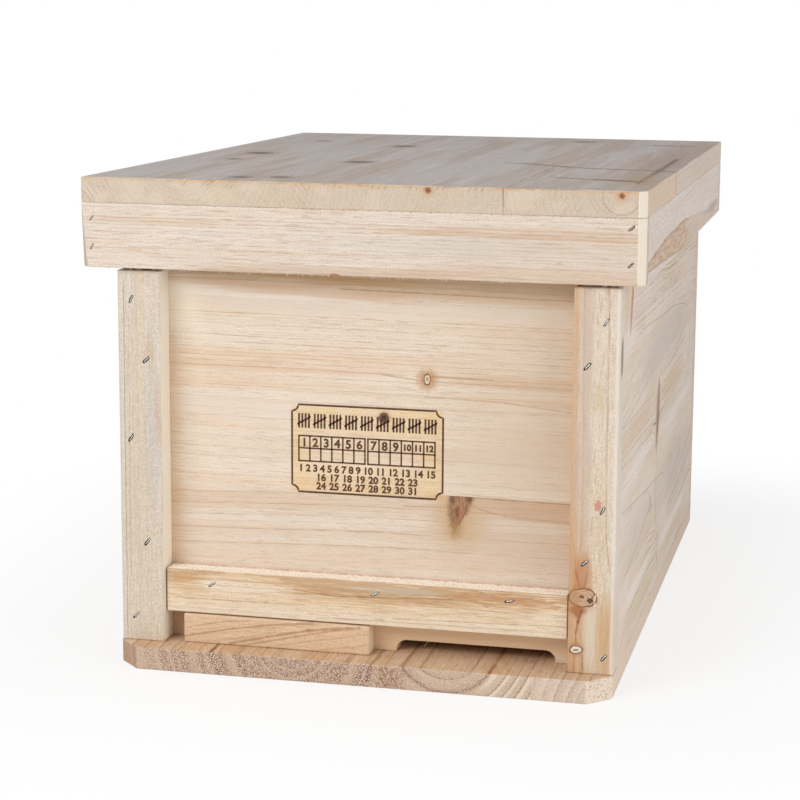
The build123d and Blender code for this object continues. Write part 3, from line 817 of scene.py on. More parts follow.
SLIDER_LATE = tone(172, 124, 84)
slider = Wood("slider_wood", "XZY", (-60.0, -226.0), 4.6, tone(228, 198, 166), SLIDER_LATE, line=0.22,
              wander=1.6, lean=0.17, seed=29.2, warm=tone(250, 234, 212), warm_share=0.4, fibre=0.2,
              streak=0.22, soft_side=0.2)
for strength, width, points in (
    (0.6, 1.1, ((-124.7, 19.8), (-89.7, 27.3), (-60.6, 32.1), (-34.4, 34.9))),
    (0.4, 0.8, ((-124.7, 25.4), (-97.0, 31.7), (-78.0, 33.7))),
    (0.65, 1.3, ((-92.6, 16.6), (-66.4, 23.2), (-37.2, 29.8), (-2.3, 34.5))),
    (0.5, 1.1, ((-79.5, 17.1), (-46.0, 25.0), (-19.7, 31.0), (-0.8, 33.7))),
    (0.25, 1.0, ((-66.4, 16.2), (-37.2, 22.3), (3.5, 30.0))),
    (0.25, 1.0, ((-31.4, 16.3), (3.6, 22.9))),
    (0.3, 0.8, ((-108.0, 17.0), (-84.0, 21.0), (-60.0, 27.0))),
):
    for start, stop in zip(points, points[1:]):
        slider.scratch(start, stop, width, SLIDER_LATE, strength)
slider.paint(slider.facing(1, 0, 0) * 0.75, tone(246, 230, 206))
slider_material = slider.done()
print("entrance:", rail_material.name, slider_material.name)

# %% [markdown]
# ## The floor
# The floor's boards run from front to back, so their front edge is end grain and shows the rings as
# arcs. Two of the boards were cut just under the pith, so theirs hang like bowls. The right one lies
# further out in the trunk, and its arcs stand almost upright. This wood grew fast, so its rings are
# twice as wide as the wall's, and its open pores make brown specks. The left front corner was cut with
# a coarser saw and is browner.

# %% Floor finishes
FLOOR_EARLY = tone(216, 186, 154)
FLOOR_LATE = tone(142, 96, 60)
FLOOR_WARM = tone(246, 226, 198)
FLOOR_PALE = tone(197, 167, 138)
FLOOR_BROWN = tone(140, 88, 54)


def floor_wood(name, pith, ring, seed, band, end_line, specks, end_pale=FLOOR_PALE, uneven=1.4):
    """Finish of one floor board, as a Wood that more marks can go on."""
    return Wood(name, "YXZ", pith, ring, FLOOR_EARLY, FLOOR_LATE, line=0.95, wander=2.2, seed=seed,
                warm=FLOOR_WARM, warm_share=0.5, end_pale=end_pale, end_dark=FLOOR_BROWN, band=band,
                end_line=end_line, specks=specks, soft_side=0.2, uneven=uneven)


floor_left = floor_wood("floor_left_wood", (-44.0, 27.0), 8.4, 37.0, 0.9, 0.15, 1.0, uneven=2.6)
pale_end = floor_left.across.rise(-118.0, -156.0) * floor_left.facing(0, -1, 0)
floor_left.paint(pale_end * 0.55, tone(214, 190, 162))
floor_left.paint(floor_left.facing(-1, -1, 0) * 0.6, tone(176, 136, 108))
floor_left_material = floor_left.done()
floor_middle = floor_wood("floor_middle_wood", (60.0, 36.0), 7.4, 41.0, 0.2, 0.75, 0.65,
                          end_pale=tone(208, 182, 156))
left_part = floor_middle.across.rise(46.0, 18.0) * floor_middle.facing(0, -1, 0)
rough_brown = floor_middle.specks.rise(0.42, 0.52)
floor_middle.paint(left_part * rough_brown * 0.7, FLOOR_BROWN)
right_part = floor_middle.across.rise(78.0, 92.0) * floor_middle.facing(0, -1, 0)
floor_middle.paint(right_part * (1 - floor_middle.band) * 0.7, tone(236, 222, 206))
floor_middle_material = floor_middle.done()
floor_right = floor_wood("floor_right_wood", (190.0, -14.0), 7.6, 43.0, 0.24, 0.3, 0.5,
                         end_pale=tone(222, 202, 181))
dots = floor_right.ragged(1.0, 1.0).rise(0.6, 0.68)
corner_speckle = floor_right.mix(dots, tone(248, 230, 210), tone(178, 134, 98))
floor_right.paint(floor_right.facing(1, -1, 0) * 0.95, corner_speckle)
# painted light on the right side face: lifted, and fading from the front towards the back
painted_side_falloff = floor_right.mix(floor_right.along.rise(-200.0, 160.0), tone(246, 226, 206), tone(226, 206, 190))
floor_right.paint(floor_right.facing(1, 0, 0) * 0.8, painted_side_falloff)
floor_right_material = floor_right.done()
print("floor: three finishes")

# %% [markdown]
# ## Side and back walls
# The side boards are paler and greyer than the front. Their grain runs level, and knots and cracks
# break it.

# %% Side and back finishes
SIDE_EARLY = tone(233, 217, 203)
SIDE_LATE = tone(158, 130, 108)
SIDE_WARM = tone(248, 236, 216)
SIDE_GREY = tone(204, 188, 178)
SIDE_WHITE = tone(244, 234, 226)
SIDE_TAN = tone(216, 190, 158)
SIDE_OLIVE = tone(216, 196, 158)
SIDE_BARK = tone(124, 90, 74)

ARCH_PITHS = ((197.0, 130.5), (90.0, 114.0))
side_spike = {"at": (-37.0, 146.0), "size": (9.0, 27.0)}
side_right = Wood("right_wall_wood", "YZX", ARCH_PITHS, 2.9, SIDE_EARLY, SIDE_LATE, line=0.8, wander=2.5,
                  tilt=0.03, seed=53.0, warm=SIDE_WARM, warm_share=0.5, dash=40.0, streak=0.2,
                  soft_side=0.12, calm=0.85, bends=(side_spike,), speckle=0.42)
for at, size, colour, strength in (
    ((20.0, 197.0), (170.0, 17.0), SIDE_GREY, 0.6),
    ((110.0, 80.0), (130.0, 22.0), SIDE_GREY, 0.55),
    ((-140.0, 86.0), (90.0, 18.0), SIDE_GREY, 0.3),
    ((48.0, 155.0), (66.0, 10.0), SIDE_TAN, 0.65),
    ((-145.0, 160.0), (96.0, 9.0), SIDE_TAN, 0.5),
    ((-150.0, 133.0), (92.0, 6.0), SIDE_WHITE, 0.6),
    ((105.0, 128.0), (100.0, 5.0), SIDE_WHITE, 0.55),
    ((-208.0, 228.0), (32.0, 8.0), SIDE_WHITE, 0.6),
    ((-140.0, 47.0), (86.0, 5.0), SIDE_WHITE, 0.7),
    ((80.0, 40.0), (92.0, 5.0), SIDE_WHITE, 0.7),
    ((-120.0, 30.0), (104.0, 7.0), SIDE_OLIVE, 0.55),
    ((74.0, 30.0), (76.0, 5.0), SIDE_OLIVE, 0.55),
    ((-232.0, 256.0), (18.0, 14.0), tone(214, 184, 150), 0.5),
):
    side_right.blot(at, size, colour, strength, soft=1.2, torn=0.8, cell=(120.0, 2.4))
for lines, slope, reach in (
    (((231.3, 0.9), (236.2, 0.7), (238.0, 0.9), (239.8, 0.6), (242.2, 0.7), (247.0, 0.4), (251.8, 0.6)),
     -0.026, (-200.0, 110.0)),
    (((169.6, 0.8), (163.0, 0.4), (154.2, 0.8), (149.2, 0.8), (142.8, 0.7), (129.3, 0.6)), -0.04,
     (-260.0, -50.0)),
    (((173.5, 0.6), (165.5, 0.8), (159.0, 0.5), (153.0, 0.8), (138.5, 0.6)), 0.0, (-24.0, 130.0)),
    (((72.0, 0.5), (67.8, 0.6), (38.0, 0.4), (26.0, 0.5)), 0.0, (-260.0, -60.0)),
):
    side_right.grain_lines(lines, 0.55, SIDE_LATE, 0.7, slope, reach=reach)
ARCH_TIPS = (
    ((-143, 225.1), (-35, 218.6), (48, 214.6), (102, 210.1), (146, 203.7), (163, 200.0), (169, 196.1),
     (164, 191.8), (150, 187.6), (128, 182.9), (58, 173.2)),
    ((-234, 116.7), (-97, 102.7), (-30, 97.5), (15, 91.8)),
    ((-187, 203.0), (-210, 195.2), (-242, 184.0)),
)
for points in ARCH_TIPS:
    for start, stop in zip(points, points[1:]):
        side_right.scratch(start, stop, 0.7, SIDE_LATE, 0.5)


def spike_knot(wood, at, size, lean, red, dark):
    """A branch that the saw cut lengthwise: a spindle across the grain, red in front, dark behind."""
    rise = (wood.across - at[1]) / size[1]
    off = wood.along - at[0] - rise * lean
    edge = abs(off) - (1 - rise * rise) * size[0]
    edge = edge + (wood.ragged(1.8) - 0.5) * 2.0 + (wood.ragged(9.0) - 0.5) * 5.0
    wood.paint(edge.rise(size[0], -1.0) * abs(rise).rise(1.3, 0.8) * 0.45, red)
    body = wood.mix(off.rise(size[0] * -0.5, size[0] * 0.5), red, dark)
    inner_lines = wood.grain_noise(1.1, 16.0, detail=3.0, shift=at[0]).rise(0.42, 0.6)
    body = wood.mix(inner_lines * 0.5, body, dark)
    wood.paint(edge.rise(0.9, -0.9) * 0.9, body)
    wood.paint(abs(edge + 0.4).rise(1.0, 0.2) * abs(rise).rise(1.0, 0.8) * 0.25, dark)


spike_knot(side_right, (-38.0, 146.0), (9.0, 27.0), 4.5, tone(194, 156, 128), tone(136, 108, 96))
spike_knot(side_right, (-205.0, 251.0), (5.0, 20.0), 4.0, tone(204, 160, 126), tone(176, 134, 106))
for start, stop, width, strength in (
    ((-41.0, 121.0), (-36.0, 79.0), 1.5, 0.55),
    ((-36.0, 79.0), (-17.0, 22.0), 1.5, 0.5),
    ((160.0, 15.5), (112.0, 15.5), 2.0, 0.4),
):
    side_right.scratch(start, stop, width, SIDE_BARK, strength)
# painted light falloff: the side lighter at the front, darker towards the back
side_right.shade(1.06 - 0.11 * side_right.along.rise(-240.0, 200.0))
side_right_material = side_right.done()

left_knot = {"at": (96.0, 176.0), "size": (6.0, 7.5), "core": tone(190, 150, 116), "rim": tone(122, 84, 60),
             "halo": tone(206, 170, 136), "halo_share": 0.5}
left_low_knot = {"at": (-120.0, 92.0), "size": (3.4, 4.4), "core": tone(150, 104, 74),
                 "rim": tone(98, 64, 46), "halo": tone(204, 168, 134), "halo_share": 0.5}
side_left_material = Wood("left_wall_wood", "YZX", (150.0, -122.0), 3.2, tone(230, 215, 198), SIDE_LATE,
                          line=0.55, wander=6.0, knots=(left_knot, left_low_knot), seed=59.0,
                          warm=SIDE_WARM).done()

back_knot = {"at": (-62.0, 214.0), "size": (7.5, 9.0), "core": tone(188, 142, 102),
             "rim": tone(112, 74, 52), "halo": tone(206, 162, 120), "halo_share": 0.6}
back_pin = {"at": (84.0, 96.0), "size": (2.6, 3.2), "core": tone(120, 80, 56), "rim": tone(80, 52, 38),
            "halo": tone(202, 158, 116), "halo_share": 0.6}
back_material = Wood("back_wall_wood", "XZY", (170.0, 196.0), 3.0, WALL_EARLY, WALL_LATE, line=0.55,
                     wander=5.0, knots=(back_knot, back_pin), seed=61.0, warm=WALL_WARM).done()
print("walls:", side_right_material.name, side_left_material.name, back_material.name)

# %% [markdown]
# ## The lid
# The lid's boards have lain in the weather: their top is grey, with dark knots and a few bruised lines,
# while the cut ends at the front are still yellow, with a torn reddish edge. The recipe knows which way
# a face looks, so the grey goes on the top alone. Two small piths show as red-brown eyes in the end
# grain.

# %% Lid board finishes
LID_EARLY = tone(220, 202, 183)
LID_LATE = tone(182, 150, 118)
LID_END = tone(212, 194, 172)
LID_PORES = tone(172, 140, 104)
GREY_PALE = tone(180, 171, 166)
GREY_DARK = tone(134, 120, 111)
GREY_WARM = tone(160, 140, 122)
GREY_WHITE = tone(194, 188, 185)
BRUISE = tone(96, 72, 58)
TORN_RED = tone(178, 124, 84)
TORN_TAN = tone(216, 178, 136)
HAIRLINE = tone(150, 104, 76)


def lid_wood(name, pith, ring, seed, knots=()):
    """Finish of one lid board, grey with weather on its top."""
    wood = Wood(name, "YXZ", pith, ring, LID_EARLY, LID_LATE, line=0.5, wander=4.0, seed=seed,
                warm=tone(248, 232, 212), warm_share=0.5, end_pale=LID_END, end_dark=LID_PORES, band=0.1,
                end_line=0.2, specks=0.6, pore=0.8, dash=45.0, bends=knots)
    wood.top = wood.facing(0, 0, 1)
    weather = wood.mix(wood.late * 0.8, GREY_PALE, GREY_DARK)
    brown = wood.grain_noise(260.0, 26.0, detail=3.0, shift=71.0).rise(0.44, 0.62)
    weather = wood.mix(brown * 0.6, weather, GREY_WARM)
    white = wood.grain_noise(180.0, 7.0, detail=4.0, shift=43.0).rise(0.54, 0.66)
    weather = wood.mix(white * 0.4, weather, GREY_WHITE)
    weather = wood.mix(wood.strokes * 0.35, weather, GREY_DARK)
    weather = wood.mix(1.0, weather, 1 + (wood.fibres - 0.5) * 0.3, "MULTIPLY")
    weather = wood.mix(1.0, weather, 1 + (wood.ragged(1.2, 1.0) - 0.5) * 0.16, "MULTIPLY")
    # the grey top darker towards the back
    weather = wood.mix(1.0, weather, 1 - 0.06 * wood.along.rise(0.0, 250.0), "MULTIPLY")
    wood.paint(wood.top, weather)
    for knot in knots:
        wood.draw_knot(**knot)
    front = wood.facing(0, -1, 0)
    wood.paint(wood.ragged(26.0, 3.0).rise(0.5, 0.6) * front * 0.35, tone(228, 212, 192))
    wood.paint(wood.ragged(17.0, 3.0).rise(0.54, 0.64) * front * 0.25, tone(212, 190, 158))
    torn_edge = wood.through + (wood.ragged(9.0, 4.0) - 0.5) * 5.0
    torn_here = wood.ragged(32.0, 2.0).rise(0.36, 0.6) * 0.75 + 0.25
    wood.paint(torn_edge.rise(325.2, 328.2) * torn_here * front * 0.7, TORN_TAN)
    nibbled = wood.through + (wood.ragged(5.0, 4.0) - 0.5) * 4.0
    wood.paint(nibbled.rise(327.4, 329.0) * front * 0.6, TORN_RED)
    return wood


def lid_knot(at, size, dark=1.0):
    """A weathered knot in the lid. The paler ones are less dark all over."""
    def faded(red, green, blue):
        share = 1 - dark
        return tone(red + (176 - red) * share, green + (166 - green) * share, blue + (160 - blue) * share)
    return {"at": at, "size": size, "core": faded(126, 106, 94), "rim": faded(98, 80, 70),
            "halo": faded(146, 128, 116), "halo_share": 0.8, "flame": (3.6, 2.3),
            "heart": faded(66, 50, 42), "heart_size": 0.6, "rings": 0.6, "edge": 0.12, "ragged": 0.5}


def pith_eye(wood, across, height, arc_share):
    """A pith that shows in the front end grain: a red-brown eye, with an arc of one ring round it."""
    side = wood.across - across
    rise = wood.through - height
    away = (side * side + rise * rise).math("SQRT") + (wood.ragged(1.6, 1.0) - 0.5) * 2.2
    wood.paint(away.rise(6.5, 0.5) * wood.cut_end * 0.65, tone(210, 158, 112))
    wood.paint(away.rise(2.6, 0.9) * wood.cut_end * 0.9, tone(132, 76, 48))
    wood.paint(abs(away - 12.0).rise(0.8, 0.1) * wood.cut_end * arc_share, tone(160, 126, 98))


def slanted_marks(wood, low, high, slope, share, bottom=0.0):
    """Fine slanted lines that the saw left in the end grain between two places, above a height."""
    phase = (wood.across + wood.through * slope) * 1.5 + (wood.ragged(9.0) - 0.5) * 7.0
    lines = phase.math("SINE").rise(0.84, 1.0) * wood.ragged(9.0, 1.0).rise(0.44, 0.56)
    reach = wood.across.rise(low - 6.0, low + 4.0) * wood.across.rise(high + 6.0, high - 4.0)
    reach = reach * wood.through.rise(bottom, bottom + 1.5)
    wood.paint(lines * reach * wood.facing(0, -1, 0) * share, HAIRLINE)


left_lid_knots = (
    lid_knot((-7.0, -146.0), (9.0, 10.0)),
    lid_knot((-75.0, -145.0), (6.0, 5.5), 0.7),
    lid_knot((-75.0, -50.0), (8.0, 10.0)),
    lid_knot((-233.0, -89.0), (7.0, 8.0), 0.8),
    lid_knot((-226.0, -64.0), (7.0, 7.0), 0.8),
    lid_knot((108.0, -60.0), (9.0, 9.0)),
    lid_knot((150.0, -140.0), (7.0, 7.0), 0.5),
    lid_knot((215.0, 72.0), (8.0, 9.0), 0.8),
)
lid_left = lid_wood("lid_left_wood", (-118.0, 345.0), 3.2, 67.0, left_lid_knots)
lid_left.scuff(((-48.0, 53.0, 2.0), (-50.0, 66.0, 3.2), (-55.0, 76.0, 5.0), (-67.0, 92.5, 5.0)), BRUISE,
               0.95, lid_left.top)
pith_eye(lid_left, 43.7, 326.0, 0.12)
slanted_marks(lid_left, -190.0, -172.0, 0.8, 0.5)
slanted_marks(lid_left, -120.0, -84.0, -1.1, 0.75, bottom=323.5)
slanted_marks(lid_left, -118.0, -92.0, -0.9, 0.3)
slanted_marks(lid_left, -62.0, -36.0, 0.8, 0.45)
slanted_marks(lid_left, -20.0, 90.0, -0.7, 0.6, bottom=325.0)
board_joint = lid_left.across + (lid_left.through - 320.0) * 0.08 + (lid_left.ragged(4.0) - 0.5) * 0.6
lid_left.paint(board_joint.rise(91.0, 92.2) * lid_left.facing(0, -1, 0) * 0.7, tone(168, 132, 106))
lid_left_material = lid_left.done()

lid_right = lid_wood("lid_right_wood", (166.0, 330.0), 3.4, 73.0)
lid_right.blot((40.0, 172.0), (240.0, 24.0), tone(146, 122, 104), 0.6, soft=1.4, torn=0.5,
               mask=lid_right.top)
lid_right.blot((-175.0, 168.0), (46.0, 10.0), tone(158, 132, 88), 0.6, soft=1.2, torn=0.6,
               mask=lid_right.top)
for strength, points in (
    (0.95, ((-66.0, 90.0, 4.4), (-77.0, 108.0, 3.6), (-84.0, 128.0, 3.4), (-88.0, 150.0, 3.4),
            (-92.0, 170.0, 4.0), (-98.5, 184.0, 4.0))),
    (1.0, ((-168.0, 107.0, 2.2), (-175.0, 124.0, 3.4), (-180.0, 138.0, 4.8), (-188.0, 167.0, 4.8))),
    (1.0, ((30.0, 169.5, 2.2), (-50.0, 169.8, 2.6), (-124.0, 169.5, 1.6), (-206.0, 168.5, 1.6))),
    (0.85, ((189.0, 134.0, 4.6), (182.0, 164.0, 4.6))),
):
    lid_right.scuff(points, BRUISE, strength, lid_right.top)
lid_right.scratch((26.0, 169.6), (-108.0, 169.6), 1.3, tone(74, 54, 44), 0.8, mask=lid_right.top)
joint_dots = abs(lid_right.across - 93.8).rise(1.8, 0.6) * lid_right.ragged(2.6, 1.0).rise(0.5, 0.58)
lid_right.paint(joint_dots * lid_right.along.rise(-20.0, -140.0) * lid_right.top * 0.8, BRUISE)
pith_eye(lid_right, 166.7, 325.8, 0.4)
slanted_marks(lid_right, 116.0, 150.0, -0.6, 0.2)
right_side = lid_right.facing(1, 0, 0)
lid_right.paint(right_side * 0.55, tone(222, 206, 192))
lid_right.paint(right_side * lid_right.along.rise(-94.0, -100.0) * 0.7, tone(226, 196, 168))
lid_right.paint(abs(lid_right.along + 97.0).rise(4.0, 1.0) * right_side * 0.4, tone(158, 122, 96))
# the right front chamfer: pale cut wood with a painted highlight
lid_right.paint(lid_right.facing(1, -1, 0) * 0.95, tone(252, 239, 221))
lid_right_material = lid_right.done()
print("lid boards:", lid_left_material.name, lid_right_material.name)

# %% [markdown]
# The rim under the boards has its grain lying flat on all four sides. It was sawn and not planed, so
# its fibres stand out. Its right side is pale, with a brown wedge of heartwood that comes up from the
# lower front corner.

# %% Rim and ledger finishes
RIM_EARLY = tone(229, 215, 200)
RIM_LATE = tone(170, 122, 88)

rim_pin = {"at": (-17.4, 269.6), "size": (3.0, 1.2), "core": tone(182, 130, 98), "rim": tone(156, 106, 80),
           "halo": tone(204, 160, 126), "halo_share": 0.6, "flame": (2.4, 2.2), "bend": 0.0}
rim_front = Wood("front_rim_wood", "XZY", (256.0, -214.0), 2.8, RIM_EARLY, RIM_LATE, line=0.42, wander=2.5,
                 knots=(rim_pin,), seed=79.0, warm=tone(250, 236, 218), warm_share=0.4, fibre=0.2,
                 dash=14.0, streak=0.3)
rim_front.swath((20.0, 299.5), (186.0, 297.5), 2.2, tone(204, 162, 124), 0.5)
rim_front.swath((50.0, 303.0), (186.0, 301.0), 2.2, tone(212, 178, 146), 0.4)
rim_front.swath((40.0, 274.0), (190.0, 273.0), 6.0, tone(212, 180, 152), 0.5)
rim_front.swath((50.0, 289.0), (190.0, 288.0), 18.0, tone(214, 192, 170), 0.35)
rim_front.swath((-190.0, 301.0), (-100.0, 300.0), 2.4, tone(214, 184, 154), 0.4)
rim_front.swath((-110.0, 271.0), (60.0, 272.0), 4.5, tone(200, 166, 134), 0.45)
rim_front.blot((60.0, 290.0), (70.0, 6.0), tone(206, 200, 192), 0.3, soft=1.2, torn=0.6)
RIM_LINES = ((309.0, 0.4), (305.6, 0.5), (303.0, 0.6), (300.6, 0.8), (298.4, 0.7), (295.6, 0.7),
             (293.0, 0.5), (290.4, 0.4), (286.6, 0.5), (283.0, 0.35), (279.4, 0.45), (275.4, 0.4),
             (272.6, 0.3))
rim_front.grain_lines(RIM_LINES, 0.42, RIM_LATE, 0.55, slope=-0.004)
# the right front chamfer: pale cut wood with a painted highlight
rim_front.paint(rim_front.facing(1, -1, 0) * 0.95, tone(252, 239, 221))
# painted shade on the left front chamfer
rim_front.paint(rim_front.facing(-1, -1, 0) * 0.8, tone(186, 164, 142))
glue_line = rim_front.across.rise(311.2, 311.8) * rim_front.ragged(2.6, 4.0).rise(0.56, 0.62)
rim_front.paint(glue_line * 0.6, tone(124, 86, 64))
rim_front_material = rim_front.done(relief=0.55)

rim_right = Wood("right_rim_wood", "YZX", (250.0, 150.0), 2.8, tone(231, 219, 209), tone(184, 152, 126),
                 line=0.42, wander=4.0, seed=83.0, warm=tone(250, 240, 228), warm_share=0.5)
bow = (rim_right.along + 60.0) / 190.0
torn_line = (rim_right.grain_noise(30.0, 4.0, detail=4.0) - 0.5) * 7.0
under_top = 289.0 - bow * bow * 6.8 - rim_right.across + torn_line
over_foot = rim_right.across - (268.6 - rim_right.along * 0.035) + torn_line * 0.4
heartwood = under_top.rise(-0.6, 0.8) * over_foot.rise(-0.8, 0.8)
mottle = rim_right.grain_noise(24.0, 3.0, detail=4.0, shift=9.0).rise(0.4, 0.6)
mottled = rim_right.mix(mottle, tone(188, 146, 108), tone(216, 182, 150))
rim_right.paint(heartwood * (0.35 + 0.4 * rim_right.along.rise(30.0, -40.0)), mottled)
rim_right.paint(abs(under_top).rise(1.6, 0.2) * rim_right.along.rise(60.0, -20.0) * 0.6, tone(164, 116, 82))
rim_right.paint(abs(over_foot).rise(1.4, 0.2) * rim_right.along.rise(40.0, -60.0) * 0.5, tone(164, 116, 82))
rim_right.blot((205.0, 279.6), (54.0, 3.0), tone(158, 124, 102), 0.5, soft=1.2, torn=0.8, cell=(40.0, 1.6))
rim_right_material = rim_right.done()

rim_left_material = Wood("left_rim_wood", "YZX", (262.0, -150.0), 2.7, RIM_EARLY, RIM_LATE, line=0.45,
                         wander=4.0, seed=89.0, warm=WALL_WARM, streak=0.55).done()
rim_back_material = Wood("back_rim_wood", "XZY", (320.0, 222.0), 2.6, RIM_EARLY, RIM_LATE, line=0.45,
                         wander=4.0, seed=97.0, warm=WALL_WARM, streak=0.55).done()
ledger_material = Wood("ledger_wood", "YXZ", (0.0, 240.0), 2.8, RIM_EARLY, RIM_LATE, line=0.45, wander=4.0,
                       seed=101.0, warm=WALL_WARM).done()
print("rim: four finishes and the ledgers'")

# %% [markdown]
# ## Inside the box
# The inner cover and the hanging frames are planed from cleaner stock. One finish for each grain
# direction is enough, because the rings are solid: each frame hangs in another part of the wood, so no
# two look alike.

# %% Inner finishes
INNER_EARLY = tone(234, 214, 184)
INNER_LATE = tone(196, 152, 106)
INNER_WARM = tone(248, 230, 204)


def inner_wood(name, axes, pith, seed):
    """Finish of a clean piece that hangs or lies inside the box."""
    wood = Wood(name, axes, pith, 2.8, INNER_EARLY, INNER_LATE, line=0.55, wander=7.0, seed=seed,
                warm=INNER_WARM)
    return wood.done()


cover_long_material = inner_wood("cover_long_wood", "YXZ", (0.0, 210.0), 103.0)
cover_cross_material = inner_wood("cover_cross_wood", "XYZ", (0.0, 210.0), 107.0)
bar_material = inner_wood("frame_bar_wood", "YXZ", (0.0, 100.0), 109.0)
upright_material = inner_wood("frame_upright_wood", "ZXY", (30.0, 0.0), 113.0)
print("inner finishes: four")

# %% [markdown]
# ## Metal
# Staples are thin bright wire, scuffed by the gun that drove them. Those in the lid went in deeper, so
# frayed wood covers most of their shine. The mesh and the frames' wires are galvanised: greyer, with a
# faint spangle. The wood round a staple is torn; in the box's slots it is painted near black, as painted
# shade in the hollow.

# %% Metal and torn wood finishes
def metal(name, pale, dark, rough, cell):
    """A wire finish: two greys in fine patches, and roughness that follows them."""
    wire = Finish(name)
    place = wire.node("ShaderNodeTexCoord", output="Object")
    inputs = {"Vector": place, "Scale": 1 / (cell * MM), "Detail": 3.0}
    patches = wire.node("ShaderNodeTexNoise", {}, inputs)
    wire.feed("Base Color", wire.mix(patches.rise(0.35, 0.65), dark, pale))
    wire.feed("Roughness", patches * 0.25 + rough)
    wire.feed("Metallic", 1.0)
    wire.bump(patches, 0.05 * MM, 0.3)
    return wire.material


staple_material = metal("staple_wire", tone(246, 244, 240), tone(190, 188, 185), 0.28, 0.8)
dull_staple_material = metal("dull_staple_wire", tone(252, 238, 222), tone(132, 106, 88), 0.5, 0.9)
mesh_material = metal("mesh_wire", tone(188, 190, 190), tone(142, 144, 146), 0.38, 2.0)
frame_wire_material = metal("frame_wire", tone(206, 206, 204), tone(160, 160, 160), 0.3, 3.0)


def torn_wood(name, dark, pale):
    """The wood inside a torn slot."""
    torn = Finish(name)
    place = torn.node("ShaderNodeTexCoord", output="Object")
    fibres = torn.node("ShaderNodeTexNoise", {}, {"Vector": place, "Scale": 1500.0, "Detail": 2.0})
    torn.feed("Base Color", torn.mix(fibres.rise(0.35, 0.65), dark, pale))
    torn.feed("Roughness", fibres * 0.2 + 0.7)
    torn.bump(fibres, 0.2 * MM, 0.6)
    return torn.material


# painted shade: the box's slots get torn wood painted near black for the shade in them
torn_shaded_material = torn_wood("torn_wood", tone(34, 25, 20), tone(92, 68, 52))
torn_rim_material = torn_wood("torn_rim_wood", tone(112, 90, 74), tone(228, 206, 182))
print("metal: staples, mesh and frame wire")

# %% [markdown]
# ## Reading the staples
# The model has each staple as a square wire U. We need to know where each one is, to bend a rounder one
# in its place and to tear a slot in the wood round it. Walking from vertex to vertex along the edges
# finds the separate staples, and the four corners of a staple's crown give its place and its tilt.

# %% Find each staple
WELD = 1e-6
STAPLE_WIRE = 1.1 * MM
LID_CROWN = 0.72
LID_SUNK = 0.2 * MM
SLOT_GAP = 0.2 * MM
LID_SLOT_GAP = 0.02 * MM
FLAT_STAPLE = Vector((98.3, -254.5, 59.4)) * MM
FLAT_TILT = math.radians(14.0)
CROWN_DEPTH = 0.2 * MM


def loose_parts(node):
    """List the vertex places of each separate solid in a node, always in the same order."""
    shape = bmesh.new()
    shape.from_mesh(frame["nodes"][node].data)
    bmesh.ops.remove_doubles(shape, verts=shape.verts, dist=WELD)
    waiting = set(shape.verts)
    parts = []
    while waiting:
        reached = [waiting.pop()]
        part = []
        while reached:
            vertex = reached.pop()
            part.append(vertex.co.copy())
            for edge in vertex.link_edges:
                nearby = edge.other_vert(vertex)
                if nearby in waiting:
                    waiting.remove(nearby)
                    reached.append(nearby)
        parts.append(sorted(part, key=tuple))
    shape.free()
    return sorted(parts, key=lambda part: tuple(part[0]))


def read_staples(node):
    """Give each staple's crown middle, the way its crown runs, the way into the wood and its sizes."""
    found = []
    for part in loose_parts(node):
        low = min(point.y for point in part)
        high = max(point.y for point in part)
        inward = 1.0 if (low + high) < 0 else -1.0
        face = low if inward > 0 else high
        crown = [point for point in part if abs(point.y - face) < CROWN_DEPTH]
        middle = sum(crown, Vector()) / len(crown)
        run = max((a - b for a in crown for b in crown), key=lambda gap: gap.length)
        length = math.sqrt(max(run.length_squared - STAPLE_WIRE ** 2, 0.0))
        ends = sorted(crown, key=lambda point: (point - middle).dot(run))
        along = ((ends[-1] + ends[-2]) - (ends[0] + ends[1])).normalized()
        if along.x < 0:
            along = -along
        found.append({"middle": middle, "along": along, "inward": inward, "crown": length,
                      "leg": high - low, "sunk": 0.0, "gap": SLOT_GAP})
    return found


body_staples = read_staples("body_staples")
lid_staples = read_staples("lid_staples")
for staple in lid_staples:
    staple["crown"] *= LID_CROWN
    staple["sunk"] = LID_SUNK
    staple["gap"] = LID_SLOT_GAP
for staple in body_staples:
    if (staple["middle"] - FLAT_STAPLE).length < STAPLE_WIRE:
        staple["along"] = Vector((math.cos(FLAT_TILT), 0, math.sin(FLAT_TILT)))
        print("laid flat:", [round(value / MM, 1) for value in staple["middle"]])
print("staples:", len(body_staples), "in the box and", len(lid_staples), "in the lid")

# %% [markdown]
# ## Easing the boards
# No sawn board has a perfect edge. Each board here is a copy of the model's solid: its triangles are
# joined back into flat faces, then a Bevel modifier takes off the edges. An edge weight lets one edge
# be eased more than another, so that glued joints stay tight. Then the crest of each edge is nicked a
# little by noise, always inwards, so the board keeps its size.

# %% Ease a board
FLAT_ANGLE = math.radians(1.0)
SHARP_ANGLE = math.radians(35.0)
FLAT_LEVEL = 0.99
NICK_STEP = 14 * MM
NICK_CELL = 17 * MM
NICK_SHARE = 0.45
NICK_BIAS = 0.15
TIGHT_WEIGHT = 0.2
ON_PLANE = 0.01 * MM
EASE_STEPS = 2


def joined_solid(node):
    """Copy a node's solid with its flat faces whole."""
    shape = bmesh.new()
    shape.from_mesh(frame["nodes"][node].data)
    bmesh.ops.remove_doubles(shape, verts=shape.verts, dist=WELD)
    bmesh.ops.dissolve_limit(shape, angle_limit=FLAT_ANGLE, verts=shape.verts, edges=shape.edges)
    return shape


def new_piece(name, mesh):
    """Put an object with this mesh in the scene."""
    piece = bpy.data.objects.new(name, mesh)
    bpy.context.scene.collection.objects.link(piece)
    return piece


